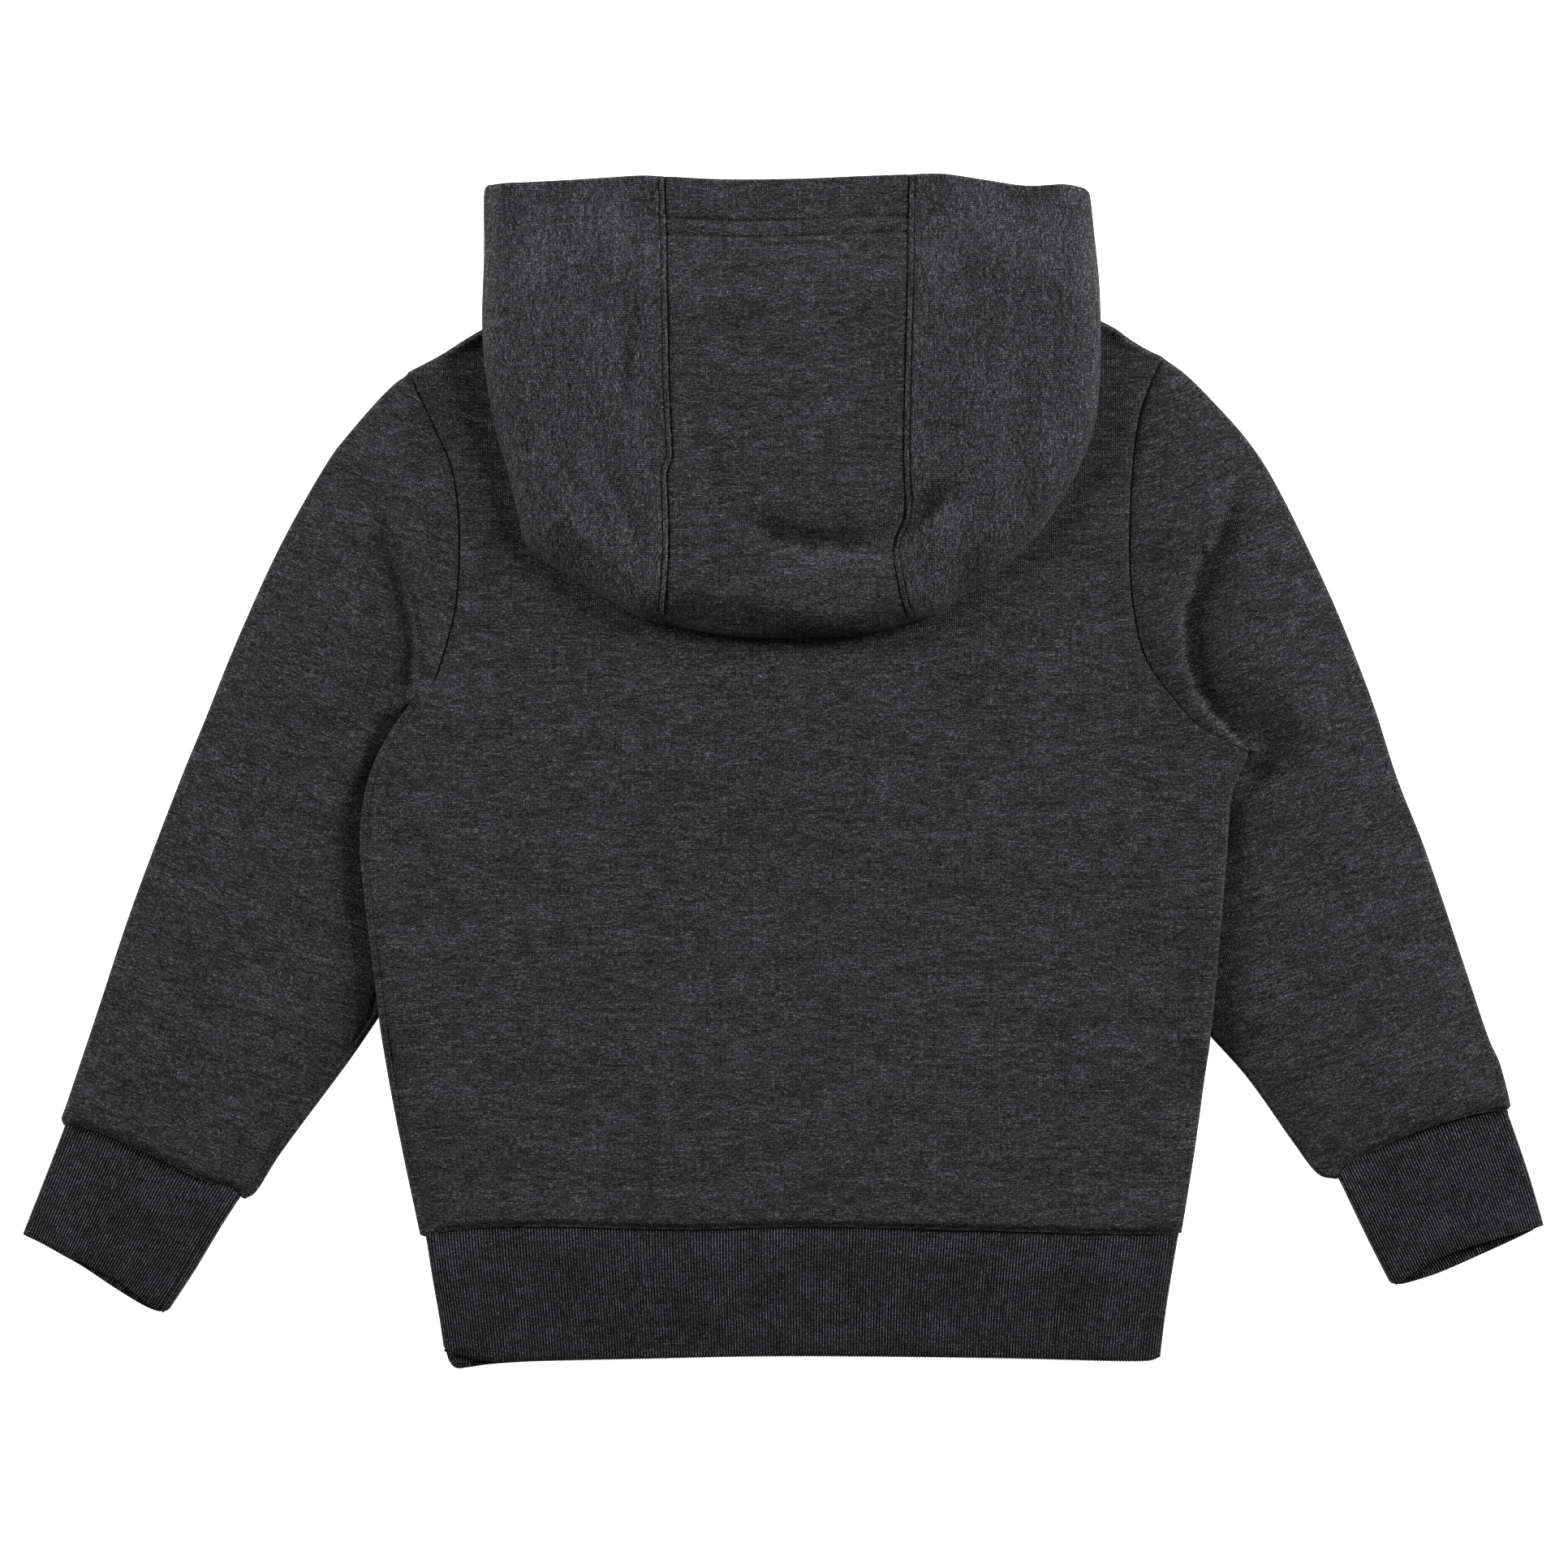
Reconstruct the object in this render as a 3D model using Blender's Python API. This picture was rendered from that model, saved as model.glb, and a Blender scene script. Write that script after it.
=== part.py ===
# Toddler pullover hoodie in sweatshirt fleece, laid flat with its back up and its hood
# turned down over the back.  Every cut piece is one wall of cloth: a smooth surface worked
# out from the seams and folds that bound it, thickened inwards.
# Sizes are in millimetres; the meshes are written in metres.
# X runs across the garment, Y from hem to hood, Z up from the surface that it lies on.

import bpy
import bmesh
import numpy as np
from mathutils import Matrix

MM = 0.001

# ---- driving sizes -------------------------------------------------------------------
FLEECE = 1.8            # thickness of the brushed fleece
RIB = 2.2               # thickness of the doubled rib
SEAM_GAP = 0.3          # clearance between two pieces that are sewn together
SIDE_CLEARANCE = 0.8    # between the body's side fold and the sleeve tucked against it
CORNER_REACH = 12.0     # distance from the underarm over which that clearance is wider
FOLD = 2.9              # radius of a lying garment's folded edge
BODY_CROWN = 7.0        # height of the two body layers away from the folds
SLEEVE_TUCK = 2.35      # radius of the sleeve's inner fold, flatter where it meets the body
RIB_CROWN = 6.6
TUCK_REACH = 20.0       # distance below the underarm over which the fold flattens
CROWN_REACH = 16.0      # distance from a fold over which the crown is reached
HOOD_FOLD = 1.9         # radius of the hood bag's fold below its widest line
HOOD_ROLL = 10.0        # width over which it rounds over above that line
HOOD_CROWN = 11.5       # height of the hood's two layers above what they lie on
HOOD_REST = 7.3         # height at which the hood lies on the back
HOOD_TOP_CROWN = 10.0   # height of the hood's opening, beyond the shoulders
HOOD_DROP = 34.0        # distance over which the hood sinks from the back to its opening
HOOD_DROP_START = 1.5   # where that begins, beyond the shoulders and the back neck
HOOD_CLEAR_START = 1.0  # distance from the hood's fold at which its relief sets in
HOOD_CLEAR_REACH = 5.0
HEM_ROLL = 1.5          # how far a fleece edge rolls down at a rib seam
ROLL_REACH = 2.6
RIB_TUCK = 1.9          # how far the rib starts below its own height at a seam
RIB_TUCK_REACH = 3.2
SEAM_DIP = 0.7          # groove along an armhole or hood seam
SEAM_REACH = 2.2
LIP_HEIGHT = 0.55       # seam allowance stitched flat beside the two hood seams
LIP_START = 0.8
LIP_WIDTH = 4.6
HOOD_HEM = 24.0         # depth of the turned hem round the hood's opening
HEM_HEIGHT = 0.5
NECK_MIDDLE = (0.0, 172.0)      # where the back sinks into the front's neck opening
NECK_SPAN = 62.0
NECK_DEPTH = 30.0
NECK_SINK = 1.6
RIB_PITCH = 2.9
RIB_HEIGHT = 0.45
WELD = 0.05             # grid points closer than this are one
UPPER_SIDE = 0.3        # least upward tilt of a surface that carries relief
ROUND_SHARE = 0.6       # share of a fold's radius that no dip reaches
MITRE_LIMIT = 1.25      # most that a wall's inside is moved for its slope
LEAST_PULL = 0.5        # least share of a rim's pull that counts at a corner

# ---- outlines ------------------------------------------------------------------------
# Each table has the columns (x, y).  Left and right are as the garment lies, back up.
SIDE_LEFT = ((-141.9, -180.8), (-149.9, -142.7), (-155.3, -113.0), (-159.3, -80.6),
             (-163.4, -47.2), (-164.9, -25.0), (-161.9, -3.8), (-154.8, 12.4),
             (-146.8, 24.4))
ARMHOLE_LEFT = ((-146.8, 24.4), (-137.3, 33.1), (-131.2, 50.1), (-127.2, 68.2),
                (-126.4, 95.0), (-129.1, 117.0), (-135.8, 133.4), (-146.3, 155.6))
SIDE_RIGHT = ((155.2, -180.0), (161.1, -142.7), (166.2, -101.9), (169.4, -68.5),
              (172.4, -32.0), (174.5, -8.9), (181.0, 6.8))
ARMHOLE_RIGHT = ((181.0, 6.8), (162.5, 17.0), (150.4, 30.3), (140.7, 44.9),
                 (136.1, 65.0), (134.8, 85.6), (135.6, 112.2), (138.8, 138.8),
                 (148.3, 160.9))
SHOULDER_LEFT = ((-146.3, 155.6), (-133.5, 162.4), (-117.6, 172.2), (-79.0, 193.0))
SHOULDER_RIGHT = ((80.0, 194.0), (123.2, 175.7), (148.3, 160.9))
BACK_NECK = ((-79.0, 193.0), (-60.0, 184.5), (-35.0, 179.5), (0.0, 178.0),
             (35.0, 179.8), (60.0, 185.0), (80.0, 194.0))
FRONT_NECK = ((-79.0, 193.0), (-70.0, 170.0), (-48.0, 149.0), (0.0, 139.0),
              (48.0, 149.5), (71.0, 171.0), (80.0, 194.0))
HEM_SEAM = ((-141.9, -180.8), (-137.5, -181.4), (-128.0, -178.8), (-95.0, -177.4),
            (-40.0, -178.6), (10.0, -177.6), (70.0, -178.8), (120.0, -180.2),
            (148.0, -180.4), (155.2, -180.0))

SLEEVE_OUT_LEFT = ((-146.3, 155.6), (-158.6, 144.2), (-169.2, 132.0), (-178.7, 119.3),
                   (-196.7, 87.2), (-213.4, 50.5), (-226.1, 19.0), (-235.8, -4.6), (-253.9, -52.3),
                   (-268.0, -94.8), (-279.4, -128.8), (-281.8, -136.6))
SLEEVE_IN_LEFT = ((-170.9, -115.0), (-195.4, -148.0), (-205.2, -163.4),
                  (-210.0, -167.0))
SLEEVE_END_LEFT = ((-281.8, -136.6), (-268.8, -139.5), (-249.6, -148.0), (-226.9, -159.1),
                   (-217.0, -163.0), (-210.0, -167.0))
SLEEVE_OUT_RIGHT = ((148.3, 160.9), (157.2, 154.5), (167.4, 144.1), (179.4, 130.8),
                    (189.4, 116.3), (201.2, 93.5), (215.3, 63.4), (229.1, 28.5),
                    (239.4, -3.2), (250.7, -32.0),
                    (265.7, -76.6), (274.5, -103.0), (279.3, -114.0), (283.4, -130.6))
SLEEVE_IN_RIGHT = ((181.2, -120.2), (198.1, -144.1), (208.0, -157.0),
                   (215.5, -159.3))
SLEEVE_END_RIGHT = ((283.4, -130.6), (265.9, -134.0), (243.4, -141.7), (224.0, -151.4),
                    (215.5, -159.3))

# a sleeve: outer fold, the body's side, inner fold, armhole, end
SLEEVE_LEFT = (SLEEVE_OUT_LEFT, SIDE_LEFT, SLEEVE_IN_LEFT, ARMHOLE_LEFT, SLEEVE_END_LEFT)
SLEEVE_RIGHT = (SLEEVE_OUT_RIGHT, SIDE_RIGHT, SLEEVE_IN_RIGHT, ARMHOLE_RIGHT,
                SLEEVE_END_RIGHT)

BAND_LEFT = ((-139.4, -182.8), (-137.2, -197.0), (-134.4, -213.0), (-132.4, -225.0))
BAND_RIGHT = ((153.9, -181.2), (151.2, -197.0), (148.6, -214.0), (146.9, -228.4))
BAND_TOP = ((-139.4, -182.8), (-136.0, -182.0), (-128.0, -179.5), (-95.0, -177.8),
            (-40.0, -179.0), (10.0, -178.0), (70.0, -179.2), (120.0, -180.6),
            (153.9, -181.2))
BAND_EDGE = ((-132.4, -225.0), (-126.5, -227.6), (-112.0, -229.6), (-60.0, -228.9),
             (0.0, -227.8), (80.0, -228.5), (136.0, -229.8), (146.9, -228.4))
BAND_EDGE_UNDER = ((-132.4, -225.0), (-130.6, -229.6), (-127.6, -232.7), (-120.0, -231.8),
                   (-104.0, -230.5), (-60.0, -229.1), (0.0, -228.0), (80.0, -228.7),
                   (136.0, -230.0), (146.9, -228.4))

CUFF_OUT_LEFT = ((-280.4, -138.4), (-286.7, -155.0), (-296.7, -180.4))
CUFF_IN_LEFT = ((-212.6, -167.2), (-220.7, -179.9), (-228.3, -192.8), (-239.6, -211.0))
CUFF_TOP_LEFT = ((-280.4, -138.4), (-268.4, -140.4), (-249.4, -148.5), (-226.9, -159.6),
                 (-217.6, -163.3), (-212.6, -167.2))
CUFF_EDGE_LEFT = ((-296.7, -180.4), (-278.0, -189.6), (-257.7, -199.9), (-239.6, -211.0))
CUFF_EDGE_UNDER_LEFT = ((-296.7, -180.4), (-278.0, -191.4), (-264.0, -199.0), (-250.0, -207.0),
                        (-239.6, -211.0))
CUFF_OUT_RIGHT = ((282.4, -133.2), (290.3, -156.2), (296.4, -177.0))
CUFF_IN_RIGHT = ((216.8, -159.9), (228.3, -183.9), (236.5, -200.2))
CUFF_TOP_RIGHT = ((282.4, -133.2), (265.8, -134.5), (243.4, -142.2), (224.0, -151.9),
                  (216.8, -159.9))
CUFF_EDGE_RIGHT = ((296.4, -177.0), (278.9, -181.3), (259.6, -189.8), (236.5, -200.2))
CUFF_EDGE_UNDER_RIGHT = ((296.4, -177.0), (280.0, -184.6), (254.7, -195.0),
                         (236.5, -200.2))

HOOD_SEAM_LEFT = ((-46.9, 56.8), (-45.6, 81.0), (-45.4, 117.4), (-45.0, 152.0),
                  (-46.0, 190.0), (-46.4, 231.1))
HOOD_SEAM_RIGHT = ((48.2, 57.2), (44.6, 72.0), (42.8, 88.1), (46.9, 101.0),
                   (46.5, 125.3), (47.4, 165.0), (48.4, 205.0), (48.8, 231.9))
HOOD_EDGE_LEFT = ((-100.6, 88.9), (-102.0, 92.4), (-103.4, 99.8), (-106.6, 112.8),
                  (-109.4, 123.4), (-112.6, 134.6), (-115.6, 152.0), (-117.3, 172.8),
                  (-117.0, 200.0), (-117.1, 220.0), (-116.8, 226.6), (-115.6, 228.4))
HOOD_EDGE_RIGHT = ((98.5, 90.8), (109.0, 106.8), (116.8, 122.0), (121.6, 138.0),
                   (123.2, 160.0), (122.9, 189.3), (121.0, 212.0), (119.9, 222.0),
                   (119.2, 225.6), (117.6, 227.2))
HOOD_ROUND_LEFT = ((-46.9, 56.8), (-57.0, 60.2), (-67.6, 66.2), (-83.4, 75.6),
                   (-92.8, 81.3), (-98.2, 85.6), (-100.6, 88.9))
HOOD_ROUND_RIGHT = ((48.2, 57.2), (60.0, 61.0), (71.8, 69.4), (85.1, 78.3),
                    (98.5, 90.8))
HOOD_BOTTOM = ((-46.9, 56.8), (-28.0, 53.4), (-8.0, 51.6), (14.0, 51.8), (34.0, 53.4),
               (48.2, 57.2))
HOOD_TOP_LEFT = ((-46.4, 231.1), (-56.0, 231.5), (-71.0, 230.6), (-95.0, 229.1),
                 (-115.6, 228.4))
HOOD_TOP_CENTRE = ((-46.4, 231.1), (-22.0, 230.0), (5.0, 230.3), (31.0, 231.4),
                   (48.8, 231.9))
HOOD_TOP_RIGHT = ((48.8, 231.9), (61.2, 232.2), (78.0, 229.9), (94.0, 227.6),
                  (109.0, 228.2), (117.6, 227.2))
# the hood's under layer: its seams run up to the back neck, and its opening from there
HOOD_UNDER_SEAM_LEFT = ((-46.9, 56.8), (-45.6, 110.0), (-45.0, 150.0), (-46.0, 180.9))
HOOD_UNDER_SEAM_RIGHT = ((48.2, 57.2), (46.0, 100.0), (46.4, 150.0), (47.0, 181.4))
HOOD_NECK = ((-46.0, 180.9), (-20.0, 178.6), (10.0, 178.2), (47.0, 181.4))
HOOD_LIP_LEFT = ((-46.0, 180.9), (-79.0, 203.0), (-115.6, 228.4))
HOOD_LIP_RIGHT = ((47.0, 181.4), (80.0, 202.0), (117.6, 227.2))

# ---- folds ---------------------------------------------------------------------------
# Each trough has the columns (line, depth, width); a line is a table of (x, y).
SLEEVE_TROUGHS = (
    (((-157.2, 92.0), (-151.8, 75.4), (-145.6, 52.0), (-145.6, 32.0), (-153.7, 11.1)),
     1.3, 7.5),
    (((-176.0, -20.0), (-186.0, -60.0), (-180.0, -96.0)), 0.5, 14.0),
    (((196.0, 60.0), (189.0, 20.0), (186.0, -30.0), (192.0, -76.0)), 0.6, 12.0),
)
HOOD_TROUGHS = (
    (((37.0, 84.0), (48.8, 94.1), (59.3, 104.0), (67.0, 113.0)), 2.0, 5.5),
    (((-18.0, 93.0), (0.0, 84.5), (20.0, 83.0), (38.0, 86.0)), 1.1, 6.5),
    (((-68.0, 158.0), (-66.0, 136.0), (-60.0, 120.0)), 0.7, 9.0),
)
# The right sleeve's cloth folds over itself beside the armhole, along this line.
FLAP_EDGE = ((176.0, 116.0), (169.8, 98.3), (161.3, 81.3), (155.4, 64.0), (155.5, 49.8),
             (159.5, 34.6), (166.1, 23.1), (178.0, 10.4))
FLAP_HEIGHT = 3.4
FLAP_WIDTH = 17.0
FLAP_FADE = 16.0        # distance over which the fold fades in from its ends
FLAP_SHADE = 0.9        # how far the cloth beside the fold is pulled down
FLAP_SHADE_WIDTH = 9.0

# ---- grids ---------------------------------------------------------------------------
# Shares of a fold's radius at which the cloth's columns stand, from the fold inwards.
FOLD_STEPS = (0.0, 0.13, 0.5, 1.0)
ARMHOLE_LENGTH = 155.0  # an armhole seam's length on one layer, for spacing its points
ARMHOLE_POINTS = 13
TURN_POINT = 5          # the one at which a sleeve's sections leave the armhole's top
SIDE_LENGTH = 200.0     # a side fold's length, hem to underarm
SLEEVE_WIDTH = 80.0
SLEEVE_LENGTH = 320.0
FREE_POINTS = 8         # rows of a sleeve from where it leaves the body's side to its cuff
SIDE_APEX = 0.41        # share of a side fold at which the sleeve parts from it
SLEEVE_BREAKS = (0.19, 0.56)    # shares of a sleeve's inner side: armhole, tucked, free
OUTER_BREAKS = (0.39, 0.73)     # shares of its outer fold at the same sections
SECTION_FADE = 8        # how soon a sleeve's sections straighten away from its two ends
BODY_WIDTH = 320.0
BODY_BREAK = 0.56       # share of a body panel's side below the underarm
NECK_BREAKS = (0.23, 0.77)      # shares of a body panel's top: shoulder, neck, shoulder
NECK_POINTS = 8
SHOULDER_COLUMNS = (0.024, 0.06, 0.11, 0.17)
HEM_KNOTS = (0.0, 0.5, 1.3)     # rows of a side fold at the hem, in reaches of its roll
LOWER_KNOTS = 5         # rows from there to where the sleeve parts from it
TUCKED_KNOTS = 9        # rows from there to the underarm
KNOT_GROWTH = 1.6       # how quickly those come closer together
CORNER_STEPS = (1.7, 5.5, 9.0, 17.0)    # columns of a rib tube's under layer at its corner
UNDER_COLUMN = 30.0     # width of its other columns
# columns of a hood side from its seam, rows and columns from its fold, rows from its opening
LIP_COLUMNS = (0.0, 1.2, 4.0, 5.4)
ROLL_STEPS = (0.0, 0.5, 1.9, 4.0, 7.0, 11.0)
OPENING_ROWS = (25.2, 23.2, 12.0, 3.0, 0.0)
HOOD_SIDE_WIDTH = 72.0
HOOD_LENGTH = 175.0
HOOD_SIDE_COLUMNS = 4   # even columns of a side between its lip and its roll
HOOD_ROWS = 11
HOOD_MIDDLE_COLUMNS = 9

COLOURS = {"sweat_fleece": (0.055, 0.053, 0.058, 1.0), "rib_knit": (0.035, 0.032, 0.038, 1.0)}
COLLECTION = "toddler_hoodie"


# ---- curves and patches --------------------------------------------------------------
def smooth(rows, steps=12):
    """A close polyline on the smooth curve through a table's points."""
    points = np.array(rows, float)
    before = np.vstack((2 * points[0] - points[1], points, 2 * points[-1] - points[-2]))
    share = np.linspace(0.0, 1.0, steps, endpoint=False)[:, None]
    line = []
    for a, b, c, d in zip(before, before[1:], before[2:], before[3:]):
        line.append(b + 0.5 * share * (c - a + share * (2 * a - 5 * b + 4 * c - d
                                                        + share * (3 * (b - c) + d - a))))
    return np.vstack(line + [points[-1:]])


def at(line, shares):
    """Points at the given shares of a polyline's length."""
    reach = np.concatenate(((0.0,), np.cumsum(np.linalg.norm(np.diff(line, axis=0), axis=1))))
    reach /= reach[-1]
    return np.stack([np.interp(shares, reach, line[:, k]) for k in range(line.shape[1])], axis=1)


def along(parts, breaks, shares):
    """Points on several curves in turn, each filling its own stretch of the shares."""
    points = np.zeros((len(shares), 2))
    stops = (0.0,) + tuple(breaks) + (1.0,)
    for part, start, stop in zip(parts, stops, stops[1:]):
        inside = (shares >= start) & (shares <= stop)
        points[inside] = at(part, (shares[inside] - start) / (stop - start))
    return points


def patch(left, right, bottom, top, u, v, fade=1):
    """A grid of plan points that meets four boundary curves.

    Its sections are straight lines from left to right, bent near the bottom and the top as
    those curves are; a higher fade straightens them sooner."""
    across = u[None, :, None]
    sections = (1 - across) * left[:, None] + across * right[:, None]
    for curve, share in ((bottom, 1 - v), (top, v)):
        straight = curve[0] + u[:, None] * (curve[-1] - curve[0])
        sections += share[:, None, None] ** fade * (curve - straight)
    return sections


def from_line(points, line):
    """Each point's offset from the nearest point of a polyline, and that stretch's run."""
    flat = points.reshape(-1, 1, 2)
    start = line[None, :-1]
    run = line[None, 1:] - start
    share = np.clip(((flat - start) * run).sum(2) / (run * run).sum(2), 0.0, 1.0)
    away = flat - (start + share[..., None] * run)
    nearest = np.linalg.norm(away, axis=2).argmin(1)
    picked = np.arange(len(nearest))
    return away[picked, nearest].reshape(points.shape), run[0][nearest].reshape(points.shape)


def distance(points, line):
    """Distance in plan from each point of a grid to a polyline."""
    return np.linalg.norm(from_line(points, line)[0], axis=-1)


def side_of(points, line):
    """Positive on the left of a polyline's direction, negative on its right."""
    away, run = from_line(points, line)
    return run[..., 0] * away[..., 1] - run[..., 1] * away[..., 0]


def armhole_knots():
    """Shares of an armhole from underarm to shoulder that both its pieces use."""
    head = np.array(FOLD_STEPS) * FOLD / ARMHOLE_LENGTH
    tail = 1.0 - head[::-1]
    even = np.linspace(head[-1], tail[0], ARMHOLE_POINTS)
    close = even[TURN_POINT] - 2 * SEAM_REACH / ARMHOLE_LENGTH
    return np.sort(np.concatenate((head, even[1:], tail[1:], (close,))))


def armhole_turn():
    """The number of the knot at which a sleeve's sections leave the armhole's top."""
    return len(FOLD_STEPS) + TURN_POINT


def side_knots():
    """Shares of a side fold from hem to underarm, closer together towards the underarm."""
    hem = np.array(HEM_KNOTS) * ROLL_REACH / SIDE_LENGTH
    close = 1.0 - np.linspace(1.0, 0.0, TUCKED_KNOTS) ** KNOT_GROWTH
    return np.concatenate((hem, np.linspace(hem[-1], SIDE_APEX, LOWER_KNOTS)[1:-1],
                           SIDE_APEX + (1.0 - SIDE_APEX) * close))


def on_knots(points, knots, where):
    """Points on the straight runs between a seam's own points."""
    return np.stack([np.interp(where, knots, points[:, k]) for k in range(2)], axis=1)


# ---- heights -------------------------------------------------------------------------
def over_fold(d, radius, crown, reach=CROWN_REACH):
    """Height of the upper layer at a distance from its folded edge."""
    bend = np.clip(1.0 - d / radius, 0.0, 1.0)
    arc = radius + radius * np.sqrt(1.0 - bend ** 2)
    rise = (crown - 2 * radius) * (1.0 - np.exp(-np.clip(d - radius, 0.0, None) / reach))
    return arc + rise


def under_fold(d, radius):
    """Height of the under layer at a distance from its folded edge."""
    bend = np.clip(1.0 - d / radius, 0.0, 1.0)
    return radius - radius * np.sqrt(1.0 - bend ** 2)


def roll_over(d, roll, crown):
    """Height of the hood's upper layer, round over a wider strip than its lower half."""
    bend = np.clip(1.0 - d / roll, 0.0, 1.0)
    return HOOD_FOLD + (crown - HOOD_FOLD) * np.sqrt(1.0 - bend ** 2)


def trough(points, table):
    """Soft troughs pressed into an upper layer."""
    depth = np.zeros(points.shape[:-1])
    for line, deep, width in table:
        depth += deep * np.exp(-(distance(points, smooth(line)) / width) ** 2)
    return depth


def fall(d, reach):
    """One at zero distance, falling smoothly to nothing."""
    return np.exp(-(d / reach) ** 2)


def off_fold(d):
    """Nothing on a fold's round edge, one beyond it."""
    return np.clip(d / FOLD - ROUND_SHARE, 0.0, 1.0)


# ---- walls ---------------------------------------------------------------------------
def lift(plan, height):
    return np.dstack((plan, height))


def weld(layers):
    """One surface from grids that share edges; each grid is (points, faces up, piece)."""
    mesh = bmesh.new()
    piece = mesh.faces.layers.int.new("piece")
    for points, faces_up, number in layers:
        rows, columns = points.shape[:2]
        verts = [mesh.verts.new(point) for point in points.reshape(-1, 3)]
        first = points[:-1, :-1, :2] - points[1:, 1:, :2]
        second = points[:-1, 1:, :2] - points[1:, :-1, :2]
        turned = (first[..., 0] * second[..., 1] - first[..., 1] * second[..., 0]).sum() > 0
        for row in range(rows - 1):
            for column in range(columns - 1):
                corner = row * columns + column
                ring = [corner, corner + 1, corner + columns + 1, corner + columns]
                face = mesh.faces.new([verts[k] for k in ring])
                face[piece] = number
                if turned != faces_up:
                    face.normal_flip()
    bmesh.ops.remove_doubles(mesh, verts=mesh.verts[:], dist=WELD)
    mesh.normal_update()
    return mesh, piece


def rim_pull(face_list, gap):
    """How far each vertex on a piece's rim moves in, to leave its half of a seam gap."""
    inside = set(face_list)
    pulls = {}
    for face in face_list:
        for loop in face.loops:
            edge = loop.edge
            if sum(other in inside for other in edge.link_faces) > 1:
                continue
            run = loop.link_loop_next.vert.co - loop.vert.co
            inward = face.normal.cross(run).normalized()
            for vert in edge.verts:
                pulls.setdefault(vert, []).append(inward)
    moves = {}
    for vert, parts in pulls.items():
        total = sum(parts[1:], parts[0].copy())
        mean = total.normalized()
        reach = max(LEAST_PULL, min(part.dot(mean) for part in parts))
        moves[vert] = mean * (gap / 2 / reach)
    return moves


def wall(name, mesh, piece, number, thickness, material, relief=None):
    """The closed wall of one piece: relief on its outer points over a plain inside."""
    faces = [face for face in mesh.faces if face[piece] == number]
    verts = []
    for face in faces:
        verts.extend(face.verts)
    verts = list(dict.fromkeys(verts))
    moves = rim_pull(faces, SEAM_GAP)
    shell = bmesh.new()
    outer = {}
    inner = {}
    for vert in verts:
        move = moves.get(vert, vert.co * 0.0)
        raised = relief(vert.co, vert.normal) if relief else 0.0
        factor = min(vert.calc_shell_factor(), MITRE_LIMIT)
        outer[vert] = shell.verts.new((vert.co + move + vert.normal * raised) * MM)
        inner[vert] = shell.verts.new((vert.co + move - vert.normal * thickness * factor) * MM)
    for vert in shell.verts:
        vert.co.z = max(vert.co.z, 0.0)
    for face in faces:
        shell.faces.new([outer[v] for v in face.verts])
        shell.faces.new([inner[v] for v in reversed(face.verts)])
    chosen = set(faces)
    for face in faces:
        for loop in face.loops:
            if sum(other in chosen for other in loop.edge.link_faces) > 1:
                continue
            a = loop.vert
            b = loop.link_loop_next.vert
            shell.faces.new((outer[b], outer[a], inner[a], inner[b]))
    bmesh.ops.triangulate(shell, faces=shell.faces[:])
    data = bpy.data.meshes.new(name)
    shell.to_mesh(data)
    shell.free()
    data.shade_smooth()
    node = bpy.data.objects.new(name, data)
    data.materials.append(material)
    bpy.data.collections[COLLECTION].objects.link(node)


def cloth(name):
    """The cloth's material, a rough dielectric with a little sheen."""
    material = bpy.data.materials.new(name)
    material.use_nodes = True
    shader = material.node_tree.nodes["Principled BSDF"]
    shader.inputs["Base Color"].default_value = COLOURS[name]
    shader.inputs["Roughness"].default_value = 0.92
    shader.inputs["Metallic"].default_value = 0.0
    return material


# ---- body and sleeves ----------------------------------------------------------------
def body_side(side, armhole, v):
    """A body panel's edge: the side fold up to the underarm, then the armhole."""
    low = v < BODY_BREAK
    knots = side_knots()
    fold = on_knots(at(smooth(side), knots), knots, v[low] / BODY_BREAK)
    knots = armhole_knots()
    seam = at(smooth(armhole), knots)
    return np.vstack((fold, on_knots(seam, knots, (v[~low] - BODY_BREAK) / (1 - BODY_BREAK))))


def body_layer(neck, u, v, under):
    """Plan grid of one body panel, hem to shoulders."""
    left = body_side(SIDE_LEFT, ARMHOLE_LEFT, v)
    right = body_side(SIDE_RIGHT, ARMHOLE_RIGHT, v)
    bottom = at(smooth(HEM_SEAM), u)
    top = along((smooth(SHOULDER_LEFT), smooth(neck), smooth(SHOULDER_RIGHT)), NECK_BREAKS, u)
    plan = patch(left, right, bottom, top, u, v)
    sides = [distance(plan, smooth(side)) for side in (SIDE_LEFT, SIDE_RIGHT)]
    return lift(plan, body_heights(plan, np.minimum(*sides), FOLD, under))


def body_heights(plan, d_side, radius, under):
    """Heights of the body's and the sleeves' upper or under layer, from their folds."""
    tables = (SHOULDER_LEFT, SHOULDER_RIGHT, SLEEVE_OUT_LEFT, SLEEVE_OUT_RIGHT)
    d = np.minimum.reduce([distance(plan, smooth(table)) for table in tables])
    if under:
        return np.maximum(under_fold(d, FOLD), under_fold(d_side, radius))
    height = np.minimum(over_fold(d, FOLD, BODY_CROWN), over_fold(d_side, radius, BODY_CROWN))
    dip = trough(plan, SLEEVE_TROUGHS)
    for seam in (ARMHOLE_LEFT, ARMHOLE_RIGHT):
        dip += SEAM_DIP * fall(distance(plan, smooth(seam)), SEAM_REACH)
    across = (plan[..., 0] - NECK_MIDDLE[0]) / NECK_SPAN
    up = (plan[..., 1] - NECK_MIDDLE[1]) / NECK_DEPTH
    dip += NECK_SINK * fall(np.hypot(across, up), 1.0)
    for end in (HEM_SEAM, SLEEVE_END_LEFT, SLEEVE_END_RIGHT):
        dip += HEM_ROLL * fall(distance(plan, smooth(end)), ROLL_REACH)
    return height - dip * off_fold(np.minimum(d, d_side))


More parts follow.
